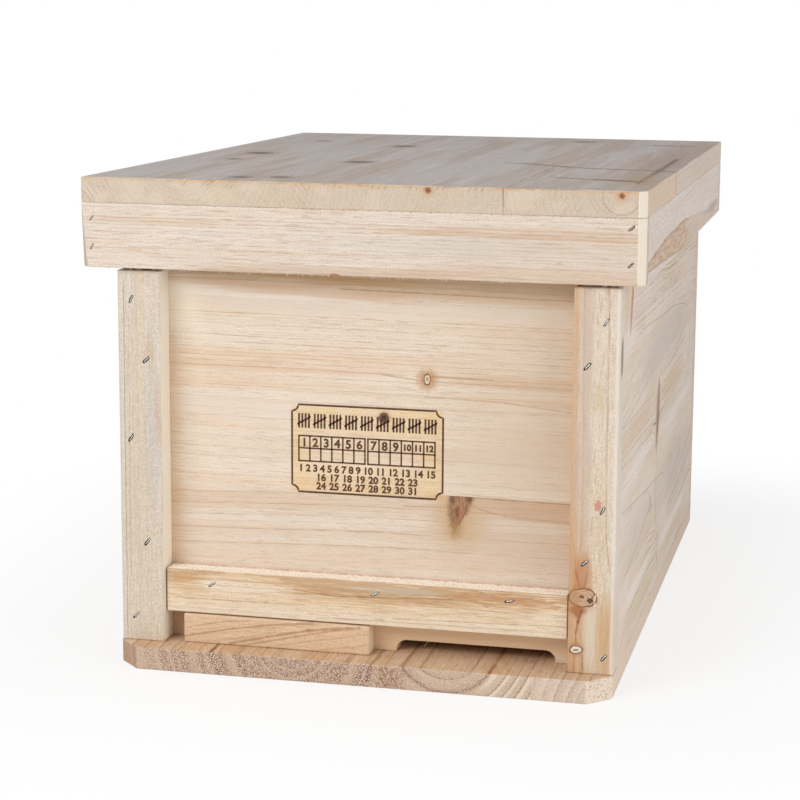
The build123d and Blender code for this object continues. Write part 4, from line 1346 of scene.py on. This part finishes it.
def applied(piece):
    """Replace a piece's mesh by what its modifiers make of it."""
    evaluated = piece.evaluated_get(bpy.context.evaluated_depsgraph_get())
    mesh = bpy.data.meshes.new_from_object(evaluated)
    piece.modifiers.clear()
    piece.data = mesh
    return piece


def cut_across(shape, draw):
    """Cut a solid into short lengths along each axis, so that its edges have vertices to move."""
    for axis in range(3):
        low = min(vertex.co[axis] for vertex in shape.verts)
        high = max(vertex.co[axis] for vertex in shape.verts)
        across = Vector([float(axis == other) for other in range(3)])
        place = low + NICK_STEP * draw.uniform(0.5, 1.0)
        while place < high - NICK_STEP / 2:
            whole = shape.verts[:] + shape.edges[:] + shape.faces[:]
            spot = across * place
            bmesh.ops.bisect_plane(shape, geom=whole, dist=WELD / 10, plane_co=spot, plane_no=across)
            place += NICK_STEP * draw.uniform(0.5, 1.5)


def nick_edges(mesh, depth, seed):
    """Nick the crests of the eased edges inwards by an uneven depth."""
    shape = bmesh.new()
    shape.from_mesh(mesh)
    cut_across(shape, random.Random(seed))
    shape.normal_update()
    for vertex in shape.verts:
        if all(max(abs(value) for value in face.normal) < FLAT_LEVEL for face in vertex.link_faces):
            wear = max(0.0, noise.noise(vertex.co / NICK_CELL) + NICK_BIAS)
            vertex.co -= vertex.normal * (wear * depth)
    bmesh.ops.triangulate(shape, faces=shape.faces)
    shape.to_mesh(mesh)
    shape.free()


def eased_board(node, material, ease=0.7, tight=(), more=None, nicked=True):
    """Make a board's piece. tight lists glued planes, and more gives an edge its own weight."""
    shape = joined_solid(node)
    weight = shape.edges.layers.float.new("bevel_weight_edge")
    for edge in shape.edges:
        if edge.calc_face_angle(0.0) < SHARP_ANGLE:
            continue
        edge[weight] = 1.0
        for axis, value in tight:
            if all(abs(vertex.co["XYZ".index(axis)] - value * MM) < ON_PLANE for vertex in edge.verts):
                edge[weight] = TIGHT_WEIGHT
        if more:
            edge[weight] = more(edge, edge[weight])
    mesh = bpy.data.meshes.new(node)
    shape.to_mesh(mesh)
    shape.free()
    piece = new_piece(node + ".wood", mesh)
    mesh.materials.append(material)
    bevel = piece.modifiers.new("ease", "BEVEL")
    bevel.limit_method = "WEIGHT"
    bevel.width = ease * MM
    bevel.segments = EASE_STEPS
    bevel.use_clamp_overlap = True
    applied(piece)
    if nicked:
        nick_edges(piece.data, NICK_SHARE * ease * MM, node)
    return piece


def place_piece(piece, slot, *nodes):
    """Let a piece stand for its nodes and ride with their body. The slot is not used."""
    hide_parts(*nodes)
    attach(piece, frame["nodes"][nodes[0]]["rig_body"])
    return piece


print("tools: eased_board, place_piece")

# %% [markdown]
# ## Slots for the staples
# A staple tears the wood as it goes in. For each staple we make a ragged prism round its crown, and a
# Boolean modifier takes it out of the board, so the slot is a real hollow with its own finish. In the
# box that finish is torn wood painted near black, painted shade on top of the hollow's own.

# %% Tear the slots
SLOT_DEPTH = 1.5 * MM
SLOT_OVER = 1.0 * MM
SLOT_POINTS = 22
SLOT_LONG_POWER = 0.6
SLOT_WIDE_POWER = 0.7
ENTRY_DEPTH = 0.5 * MM


def pushed_out(level, power):
    """Push a level between -1 and 1 towards its ends, to make an oval squarer."""
    return math.copysign(abs(level) ** power, level)


def slot_cutter(staples, seed, material):
    """One mesh of ragged prisms, one for each staple."""
    draw = random.Random(seed)
    shape = bmesh.new()
    for staple in staples:
        along = staple["along"]
        into = Vector((0, staple["inward"], 0))
        across = along.cross(into)
        half_long = staple["crown"] / 2 + draw.uniform(0.0, 0.5) * MM
        half_wide = STAPLE_WIRE / 2 + staple["gap"] + draw.uniform(0.0, 0.3) * MM
        outer = []
        inner = []
        for step in range(SLOT_POINTS):
            turn = 2 * math.pi * step / SLOT_POINTS
            ragged = draw.uniform(0.8, 1.15)
            long_part = along * (pushed_out(math.cos(turn), SLOT_LONG_POWER) * half_long * ragged)
            wide_part = across * (pushed_out(math.sin(turn), SLOT_WIDE_POWER) * half_wide * ragged)
            spot = staple["middle"] + long_part + wide_part
            outer.append(shape.verts.new(spot - into * SLOT_OVER))
            inner.append(shape.verts.new(spot + into * SLOT_DEPTH))
        shape.faces.new(outer)
        shape.faces.new(list(reversed(inner)))
        for step in range(SLOT_POINTS):
            after = (step + 1) % SLOT_POINTS
            shape.faces.new((outer[after], outer[step], inner[step], inner[after]))
    bmesh.ops.recalc_face_normals(shape, faces=shape.faces)
    mesh = bpy.data.meshes.new("slots")
    shape.to_mesh(mesh)
    shape.free()
    mesh.materials.append(material)
    return mesh


def cut_slots(piece, staples, seed, material=torn_shaded_material):
    """Take the slots of the staples that go into this board out of its piece."""
    low = Vector(piece.bound_box[0])
    high = Vector(piece.bound_box[6])
    near = []
    for staple in staples:
        entry = staple["middle"] + Vector((0, staple["inward"] * ENTRY_DEPTH, 0))
        if all(low[i] <= entry[i] <= high[i] for i in range(3)):
            near.append(staple)
    cutter = new_piece("slot_cutter", slot_cutter(near, seed, material))
    piece.data.materials.append(material)
    cut = piece.modifiers.new("slots", "BOOLEAN")
    cut.operation = "DIFFERENCE"
    cut.solver = "EXACT"
    cut.material_mode = "TRANSFER"
    cut.object = cutter
    applied(piece)
    bpy.data.objects.remove(cutter)
    return len(near)


print("tools: cut_slots")

# %% [markdown]
# ## The box
# Now the pieces themselves. Each call names the model's board, its finish and the joints that are
# glued. The left post's outer edge was rubbed round in handling, so it is eased twice as much. The
# slider's underside is lifted by a hair, so that it has room to slide over the floor.

# %% Floor, walls, posts and entrance
FRONT_JOINT = round(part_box("front_wall_lower")[1].z / MM, 3)
FLOOR_JOINTS = [round(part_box(node)[1].x / MM, 3) for node in ("floor_board_left", "floor_board_middle")]
LID_JOINT = round(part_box("lid_board_left")[1].x / MM, 3)
floor_tight = [("X", joint) for joint in FLOOR_JOINTS]
SLIDE_ROOM = 0.15 * MM
SLIDER_EDGE = 3.6
POST_EDGE = 2.2
SLOT_SEED = 5


def rubbed_edge(node, rubbed):
    """Give a board's left front edge a weight of its own."""
    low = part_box(node)[0]

    def weigh(edge, weight):
        middle = (edge.verts[0].co + edge.verts[1].co) / 2
        outer = middle.x < low.x + WELD and middle.y < low.y + WELD
        return rubbed if outer else weight
    return weigh


def break_slider_edge(edge, weight):
    """Take more off the slider's hidden lower edge, so that it slides in under the rail."""
    low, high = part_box("entrance_slider")
    middle = (edge.verts[0].co + edge.verts[1].co) / 2
    hidden = middle.y > high.y - WELD and middle.z < low.z + WELD
    return SLIDER_EDGE if hidden else weight


def hide_side_joint(edge, weight):
    """Keep the floor's edge sharp where a side wall stands flush over it."""
    low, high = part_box("side_wall_right")
    flush = all(abs(abs(vertex.co.x) - high.x) < 10 * WELD and abs(vertex.co.z - low.z) < 10 * WELD
                for vertex in edge.verts)
    return TIGHT_WEIGHT if flush else weight


FLOOR_TOP = round(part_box("floor_board_left")[1].z / MM, 3)
round_post = rubbed_edge("corner_post_left", POST_EDGE)
box_pieces = {}
for node, material, slot, ease, tight, more in (
    ("floor_board_left", floor_left_material, "floor_wood", 0.7, floor_tight, hide_side_joint),
    ("floor_board_middle", floor_middle_material, "floor_wood", 0.7, floor_tight, None),
    ("floor_board_right", floor_right_material, "floor_wood", 0.7, floor_tight, hide_side_joint),
    ("side_wall_left", side_left_material, "wall_wood", 0.7, [("Z", FLOOR_TOP)], None),
    ("side_wall_right", side_right_material, "wall_wood", 0.7, [("Z", FLOOR_TOP)], None),
    ("front_wall_lower", front_lower_material, "wall_wood", 0.6, [("Z", FRONT_JOINT)], None),
    ("front_wall_upper", front_upper_material, "wall_wood", 0.6, [("Z", FRONT_JOINT)], None),
    ("back_wall", back_material, "wall_wood", 0.7, (), None),
    ("corner_post_left", left_post_material, "post_wood", 0.8, (), round_post),
    ("corner_post_right", right_post_material, "post_wood", 0.8, (), None),
    ("entrance_rail", rail_material, "entrance_wood", 0.7, (), None),
    ("entrance_slider", slider_material, "entrance_wood", 1.1, (), break_slider_edge),
):
    piece = eased_board(node, material, ease, tight, more)
    box_pieces[node] = place_piece(piece, slot, node)
for seed, node in enumerate(("corner_post_left", "corner_post_right", "entrance_rail", "back_wall")):
    print(node, "slots:", cut_slots(box_pieces[node], body_staples, seed + SLOT_SEED))
slider_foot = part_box("entrance_slider")[0].z + SLIDE_ROOM
for vertex in box_pieces["entrance_slider"].data.vertices:
    vertex.co.z = max(vertex.co.z, slider_foot)

# %% [markdown]
# ## The lid's boards
# The lid's boards sit on a rim, with ledgers inside that rest on the inner cover. The rim's front and
# back run over the ends of its sides, and two staples at each corner hold them.

# %% Lid pieces
LID_EASE = 0.6
RIM_EDGE = 3.0
LID_SLOT_SEED = 31
round_rim = rubbed_edge("lid_rim_front", RIM_EDGE)
lid_pieces = {}
for node, material, slot, tight, more in (
    ("lid_board_left", lid_left_material, "lid_board_wood", [("X", LID_JOINT)], None),
    ("lid_board_right", lid_right_material, "lid_board_wood", [("X", LID_JOINT)], None),
    ("lid_rim_front", rim_front_material, "lid_rim_wood", (), round_rim),
    ("lid_rim_back", rim_back_material, "lid_rim_wood", (), None),
    ("lid_rim_left", rim_left_material, "lid_rim_wood", (), None),
    ("lid_rim_right", rim_right_material, "lid_rim_wood", (), None),
    ("lid_ledger_left", ledger_material, "lid_rim_wood", (), None),
    ("lid_ledger_right", ledger_material, "lid_rim_wood", (), None),
):
    lid_pieces[node] = place_piece(eased_board(node, material, LID_EASE, tight, more), slot, node)
for seed, node in enumerate(("lid_rim_front", "lid_rim_back")):
    cut = cut_slots(lid_pieces[node], lid_staples, seed + LID_SLOT_SEED, torn_rim_material)
    print(node, "slots:", cut)

# %% [markdown]
# ## Inner cover and frames
# The four rails of the inner cover are grooved for the mesh. Each frame is a top bar with lugs, two end
# bars and a bottom bar.

# %% Inner cover rails and frame bars
COVER_EASE = 0.4
BAR_EASE = 0.5
for end, material in (("left", cover_long_material), ("right", cover_long_material),
                      ("front", cover_cross_material), ("back", cover_cross_material)):
    node = "inner_cover_rail_" + end
    place_piece(eased_board(node, material, COVER_EASE, nicked=False), "cover_wood", node)
frame_bodies = sorted(name for name in frame["bodies"] if name.startswith("frame_"))
for body in frame_bodies:
    for part, material in (("top_bar", bar_material), ("end_bar_front", upright_material),
                           ("end_bar_back", upright_material), ("bottom_bar", bar_material)):
        node = body + "_" + part
        place_piece(eased_board(node, material, BAR_EASE, nicked=False), "frame_wood", node)
print("frames:", len(frame_bodies))

# %% [markdown]
# ## Wire
# A staple, a mesh wire and a frame's wire are all the same job: a round section carried along a line.
# One helper does it for a list of points, with the ends closed, so every wire is a solid.

# %% Carry a round section along a line
def add_tube(shape, points, radius, sides):
    """Add a closed tube along a list of points to a bmesh."""
    rings = []
    guide = None
    for index, point in enumerate(points):
        ahead = points[min(index + 1, len(points) - 1)] - points[max(index - 1, 0)]
        ahead = ahead.normalized()
        if guide is None:
            guide = ahead.orthogonal().normalized()
        guide = (guide - ahead * guide.dot(ahead)).normalized()
        beside = ahead.cross(guide)
        ring = []
        for step in range(sides):
            turn = 2 * math.pi * step / sides
            out = guide * math.cos(turn) + beside * math.sin(turn)
            ring.append(shape.verts.new(point + out * radius))
        rings.append(ring)
    for before, after in zip(rings, rings[1:]):
        for step in range(sides):
            beyond = (step + 1) % sides
            face = shape.faces.new((before[step], before[beyond], after[beyond], after[step]))
            face.smooth = True
    shape.faces.new(list(reversed(rings[0])))
    shape.faces.new(rings[-1])


def wire_piece(name, lines, radius, sides, material):
    """Make one piece of many wires."""
    shape = bmesh.new()
    for points in lines:
        add_tube(shape, points, radius, sides)
    mesh = bpy.data.meshes.new(name)
    shape.to_mesh(mesh)
    shape.free()
    mesh.materials.append(material)
    return new_piece(name, mesh)


print("tools: wire_piece")

# %% [markdown]
# ## Staples
# Each staple is a U of round wire with bent corners. The gun leaves the crown a little bowed, and no
# two alike.

# %% Bend the staples
STAPLE_RADIUS = 0.42 * MM
STAPLE_BEND = 0.9 * MM
STAPLE_SIDES = 8
STAPLE_BOW = 0.18
STAPLE_SEED = 41
BEND_STEPS = 5


def staple_line(staple, draw):
    """The points of one staple, from the tip of one leg over the crown to the other."""
    along = staple["along"]
    into = Vector((0, staple["inward"], 0))
    half = staple["crown"] / 2 - STAPLE_WIRE / 2
    top = staple["middle"] + into * (STAPLE_WIRE / 2 + staple["sunk"])
    bow = draw.uniform(0.0, STAPLE_BOW) * MM
    points = [top - along * half + into * (staple["leg"] - STAPLE_WIRE / 2)]
    for side in (-1, 1):
        corner = []
        for step in range(BEND_STEPS):
            turn = math.pi / 2 * step / (BEND_STEPS - 1)
            out = half - STAPLE_BEND + STAPLE_BEND * math.cos(turn)
            deep = STAPLE_BEND - STAPLE_BEND * math.sin(turn)
            corner.append(top + along * (side * out) + into * deep)
        if side < 0:
            points += corner
            points.append(top + into * bow)
        else:
            points += reversed(corner)
    points.append(top + along * half + into * (staple["leg"] - STAPLE_WIRE / 2))
    return points


staple_draw = random.Random(STAPLE_SEED)
for node, staples, material in (("body_staples", body_staples, staple_material),
                                ("lid_staples", lid_staples, dull_staple_material)):
    lines = [staple_line(staple, staple_draw) for staple in staples]
    piece = wire_piece(node + ".wire", lines, STAPLE_RADIUS, STAPLE_SIDES, material)
    place_piece(piece, "staple_steel", node)
    print(node, "bent:", len(lines))

# %% [markdown]
# ## Mesh and frame wires
# The inner cover's mesh is woven: each wire goes over one neighbour and under the next. Each frame is
# strung with four thin wires that hold the comb. They go through the end bars, so we let them end
# inside the wood.

# %% Weave the mesh and string the frames
MESH_PITCH = 5.0 * MM
WEAVE_RADIUS = 0.3 * MM
WEAVE_LIFT = 0.3 * MM
WEAVE_SIDES = 4


def weave_lines(low, high, run_axis, height, phase):
    """Wavy wires along one axis, evenly spaced along the other."""
    step_axis = 1 - run_axis
    count = round((high[step_axis] - low[step_axis]) / MESH_PITCH)
    crossings = round((high[run_axis] - low[run_axis]) / MESH_PITCH)
    lines = []
    for index in range(count):
        side = low[step_axis] + (index + 0.5) * (high[step_axis] - low[step_axis]) / count
        points = []
        for step in range(2 * crossings + 1):
            along = low[run_axis] + step * (high[run_axis] - low[run_axis]) / (2 * crossings)
            wave = math.sin(math.pi * (step / 2 + index + phase)) * WEAVE_LIFT
            spot = [0.0, 0.0, height + wave]
            spot[run_axis] = along
            spot[step_axis] = side
            points.append(Vector(spot))
        lines.append(points)
    return lines


mesh_low, mesh_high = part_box("inner_cover_mesh")
mesh_height = (mesh_low.z + mesh_high.z) / 2
mesh_lines = weave_lines(mesh_low, mesh_high, 1, mesh_height, 0)
mesh_lines += weave_lines(mesh_low, mesh_high, 0, mesh_height, 1)
weave = wire_piece("inner_cover_mesh.weave", mesh_lines, WEAVE_RADIUS, WEAVE_SIDES, mesh_material)
place_piece(weave, "mesh_steel", "inner_cover_mesh")
print("mesh wires:", len(mesh_lines))

STRING_COUNT = 4
STRING_RADIUS = 0.3 * MM
STRING_SIDES = 6
STRING_INSET = Vector((0, 2 * MM, 0))
STRING_ROOM = 20 * MM
for body in frame_bodies:
    front_low, front_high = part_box(body + "_end_bar_front")
    back_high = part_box(body + "_end_bar_back")[1]
    middle_x = (front_low.x + front_high.x) / 2
    strings = []
    for index in range(STRING_COUNT):
        height = front_low.z + (index + 0.5) / STRING_COUNT * (front_high.z - front_low.z - STRING_ROOM)
        front_end = Vector((middle_x, front_low.y, height)) + STRING_INSET
        back_end = Vector((middle_x, back_high.y, height)) - STRING_INSET
        strings.append([front_end, back_end])
    piece = wire_piece(body + ".strings", strings, STRING_RADIUS, STRING_SIDES, frame_wire_material)
    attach(piece, body)

# %% [markdown]
# ## The tally mark
# A keeper counts visits on the box itself. A hot iron has burnt a plain frame into the front wall, with
# nine counts of five on top, twelve numbered squares with an empty one under each, and the days of a
# month below. Each burnt line is a thin flat solid that stands a hair proud of the wall, so it needs no
# picture. Text objects give the numbers.

# %% Burn the tally mark
BURN_PROUD = 0.05 * MM
BURN_SUNK = 0.15 * MM
FRAME_LINE = 1.3
CORNER_REACH = 4.4
CORNER_STEPS = 7
GRID_LINE = 1.05
GRID_LEFT = (-47.9, -0.6)
GRID_COLUMNS = 6
GRID_ROWS = (141.5, 150.2, 158.5)
SQUARE = 7.55
OVERLAP = 0.05
ONE_DIGIT_NUMBERS = 9
NUMBER_SIZE = 8.0
SMALL_NUMBER_SIZE = 5.8
NUMBER_BOLD = 0.3 * MM
NUMBER_WELD = 0.06 * MM
NUMBER_STEPS = 4
COUNTS = 9
COUNT_LEFT = -48.4
COUNT_STEP = 10.74
COUNT_FOOT = 164.4
COUNT_TOP = 174.2
STROKES = 4
STROKE_WIDTH = 1.35
STROKE_STEP = 2.25
SLASH_OVER = 0.6
SLASH_LOW = 166.0
SLASH_HIGH = 171.4
DAY_SIZE = 6.6
DAY_DIGIT = 3.6
DAY_BOLD = 0.28 * MM
DAY_WELD = 0.105 * MM
DAY_ROWS = ((1, 15, 137.0, 1.3), (16, 23, 131.0, 1.75), (24, 31, 125.2, 1.75))
wall_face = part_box("front_wall_upper")[0].y
burnt_depth = BURN_PROUD + BURN_SUNK
burnt_middle = wall_face + (BURN_SUNK - BURN_PROUD) / 2
mark_middle = (TALLY_LOW[0] + TALLY_HIGH[0]) / 2


def burnt_patch(shape, corners):
    """A flat burnt solid with four corners, in millimetres."""
    rings = []
    for depth in (-BURN_PROUD, BURN_SUNK):
        rings.append([shape.verts.new((x * MM, wall_face + depth, z * MM)) for x, z in corners])
    shape.faces.new(rings[0])
    shape.faces.new(list(reversed(rings[1])))
    for step in range(4):
        after = (step + 1) % 4
        shape.faces.new((rings[0][after], rings[0][step], rings[1][step], rings[1][after]))


def burnt_bar(shape, left, right, bottom, top):
    """An upright or level burnt bar, in millimetres."""
    burnt_patch(shape, ((left, bottom), (right, bottom), (right, top), (left, top)))


def burnt_loop(shape, points, width):
    """A burnt line of even width round a closed list of points, in millimetres."""
    rings = []
    for index, (x, z) in enumerate(points):
        before = Vector(points[index - 1])
        after = Vector(points[(index + 1) % len(points)])
        ahead = (after - before).normalized() * (width / 2)
        ring = []
        for side, depth in ((-1, -BURN_PROUD), (1, -BURN_PROUD), (1, BURN_SUNK), (-1, BURN_SUNK)):
            spot = ((x + side * ahead.y) * MM, wall_face + depth, (z - side * ahead.x) * MM)
            ring.append(shape.verts.new(spot))
        rings.append(ring)
    for index, ring in enumerate(rings):
        beyond = rings[(index + 1) % len(rings)]
        for step in range(4):
            after = (step + 1) % 4
            shape.faces.new((ring[step], ring[after], beyond[after], beyond[step]))


def frame_points():
    """A rectangle whose corners are bitten out in quarter circles."""
    points = []
    corners = ((TALLY_HIGH[0], TALLY_LOW[1], 180), (TALLY_HIGH[0], TALLY_HIGH[1], 270),
               (TALLY_LOW[0], TALLY_HIGH[1], 360), (TALLY_LOW[0], TALLY_LOW[1], 90))
    for x, z, start in corners:
        for step in range(CORNER_STEPS):
            turn = math.radians(start - 90 * step / (CORNER_STEPS - 1))
            points.append((x + CORNER_REACH * math.cos(turn), z + CORNER_REACH * math.sin(turn)))
    return points


def burnt_count(shape, left):
    """Four strokes with a fifth across them."""
    for stroke in range(STROKES):
        start = left + stroke * STROKE_STEP
        burnt_bar(shape, start, start + STROKE_WIDTH, COUNT_FOOT, COUNT_TOP)
    start = left - SLASH_OVER
    stop = left + (STROKES - 1) * STROKE_STEP + STROKE_WIDTH + SLASH_OVER
    burnt_patch(shape, ((start, SLASH_LOW), (stop, SLASH_HIGH), (stop, SLASH_HIGH + STROKE_WIDTH),
                        (start, SLASH_LOW + STROKE_WIDTH)))


def burnt_number(shape, number, x, z, size, bold, weld):
    """A plain number made by a text object, welded into a closed solid."""
    letters = bpy.data.curves.new("tally_number", "FONT")
    letters.body = str(number)
    letters.size = size * MM
    letters.extrude = burnt_depth / 2
    letters.offset = bold
    letters.align_x = "CENTER"
    letters.align_y = "CENTER"
    letters.resolution_u = NUMBER_STEPS
    holder = new_piece("tally_number", letters)
    evaluated = holder.evaluated_get(bpy.context.evaluated_depsgraph_get())
    mesh = bpy.data.meshes.new_from_object(evaluated)
    stand_up = Matrix.Rotation(math.pi / 2, 4, "X")
    mesh.transform(Matrix.Translation((x * MM, burnt_middle, z * MM)) @ stand_up)
    solid = bmesh.new()
    solid.from_mesh(mesh)
    bmesh.ops.remove_doubles(solid, verts=solid.verts, dist=weld)
    solid.to_mesh(mesh)
    solid.free()
    shape.from_mesh(mesh)
    bpy.data.objects.remove(holder)
    bpy.data.meshes.remove(mesh)


mark = bmesh.new()
burnt_loop(mark, frame_points(), FRAME_LINE)
for index in range(COUNTS):
    burnt_count(mark, COUNT_LEFT + index * COUNT_STEP)
number_height = (GRID_ROWS[1] + GRID_ROWS[2]) / 2
for index in range(GRID_COLUMNS * len(GRID_LEFT)):
    middle = GRID_LEFT[index // GRID_COLUMNS] + (index % GRID_COLUMNS + 0.5) * SQUARE
    size = NUMBER_SIZE if index < ONE_DIGIT_NUMBERS else SMALL_NUMBER_SIZE
    burnt_number(mark, index + 1, middle, number_height, size, NUMBER_BOLD, NUMBER_WELD)
half_line = GRID_LINE / 2
for group in GRID_LEFT:
    for height in GRID_ROWS:
        end = group + GRID_COLUMNS * SQUARE
        burnt_bar(mark, group - half_line, end + half_line, height, height + GRID_LINE)
    for column in range(GRID_COLUMNS + 1):
        middle = group + column * SQUARE
        top = GRID_ROWS[2] + GRID_LINE - OVERLAP
        burnt_bar(mark, middle - half_line, middle + half_line, GRID_ROWS[0] + OVERLAP, top)
for first, last, height, gap in DAY_ROWS:
    widths = [len(str(day)) * DAY_DIGIT for day in range(first, last + 1)]
    place = mark_middle - (sum(widths) + gap * (len(widths) - 1)) / 2
    for day, width in enumerate(widths, first):
        burnt_number(mark, day, place + width / 2, height, DAY_SIZE, DAY_BOLD, DAY_WELD)
        place += width + gap
bmesh.ops.recalc_face_normals(mark, faces=mark.faces)
mark_mesh = bpy.data.meshes.new("tally_mark")
mark.to_mesh(mark_mesh)
mark.free()

burnt = Finish("burnt_wood")
burnt_place = burnt.node("ShaderNodeTexCoord", output="Object")
char = burnt.node("ShaderNodeTexNoise", {}, {"Vector": burnt_place, "Scale": 420.0, "Detail": 3.0})
burnt.feed("Base Color", burnt.mix(char.rise(0.35, 0.7), tone(70, 44, 28), tone(112, 76, 50)))
burnt.feed("Roughness", char * 0.2 + 0.7)
mark_mesh.materials.append(burnt.material)
tally = new_piece("tally_mark", mark_mesh)
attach(tally, "hive_body")
print("tally mark faces:", len(mark_mesh.polygons))

# %% [markdown]
# ## Loose fibres
# Sawn edges are hairy. Short bent hairs stand on the rail's sawn top, hang from the rim's lower edge
# and curl where the rail meets the post. They are the same closed tubes as the wire, only much thinner.

# %% Grow the fibres
FIBRE_RADIUS = 0.11 * MM
FIBRE_SIDES = 3
FIBRE_STEPS = 3
RAIL_FIBRES = 260
LONG_FIBRES = 7
RIM_FIBRES = 190
SUNK = 0.1
FIBRE_SEED = 97
fibre_draw = random.Random(FIBRE_SEED)

hair = Finish("loose_fibres")
hair_place = hair.node("ShaderNodeTexCoord", output="Object")
hair_tone = hair.node("ShaderNodeTexNoise", {}, {"Vector": hair_place, "Scale": 300.0})
hair.feed("Base Color", hair.mix(hair_tone.rise(0.4, 0.6), tone(232, 208, 178), tone(252, 245, 234)))
hair.feed("Roughness", hair_tone * 0.2 + 0.6)


def fibre(root, aim, length, curl):
    """The points of one bent hair, in millimetres."""
    aim = Vector(aim).normalized()
    aside = aim.orthogonal().normalized()
    aside.rotate(Matrix.Rotation(fibre_draw.uniform(0, 2 * math.pi), 3, aim))
    points = []
    for step in range(FIBRE_STEPS + 1):
        share = step / FIBRE_STEPS
        points.append((Vector(root) + aim * (length * share) + aside * (curl * share * share)) * MM)
    return points


rail_low, rail_high = (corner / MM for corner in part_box("entrance_rail"))
rim_low, rim_high = (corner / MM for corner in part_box("lid_rim_front"))
between = fibre_draw.uniform
rail_fibres = []
for _ in range(RAIL_FIBRES):
    place = between(rail_low.x + 1, rail_high.x - 1)
    root = (place, between(rail_low.y + 0.6, rail_high.y - 0.6), rail_high.z - SUNK)
    aim = (between(-1, 1), between(-1.2, 0.2), between(0.3, 1))
    rail_fibres.append(fibre(root, aim, between(0.5, 1.5), between(-0.4, 0.4)))
for _ in range(LONG_FIBRES):
    place = rail_low.x + between(0.2, 5)
    root = (place, rail_high.y - between(1, 4), rail_high.z - SUNK)
    aim = (between(-0.2, 0.8), between(-1, 0), 1.2)
    rail_fibres.append(fibre(root, aim, between(2.5, 5), between(-3, 3)))
notch_splinter = fibre((41.6, rail_high.y + 0.8, 23.6), (-3.4, 0.4, -3.0), 5.0, 0.6)
rail_fibres.append(notch_splinter)
rim_fibres = []
for _ in range(RIM_FIBRES):
    place = between(rim_low.x + 6, rim_high.x - 6)
    root = (place, rim_low.y + between(0.4, 1.2), rim_low.z + 2 * SUNK)
    aim = (between(-1.6, 1.6), between(-0.3, 0.3), -1)
    rim_fibres.append(fibre(root, aim, between(0.6, 2.0), between(-0.8, 0.8)))
for name, lines, body, slot in (("rail_fibres", rail_fibres, "hive_body", "entrance_wood"),
                                ("rim_fibres", rim_fibres, "lid", "lid_rim_wood")):
    piece = wire_piece(name, lines, FIBRE_RADIUS, FIBRE_SIDES, hair.material)
    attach(piece, body)
    print(name, len(lines))
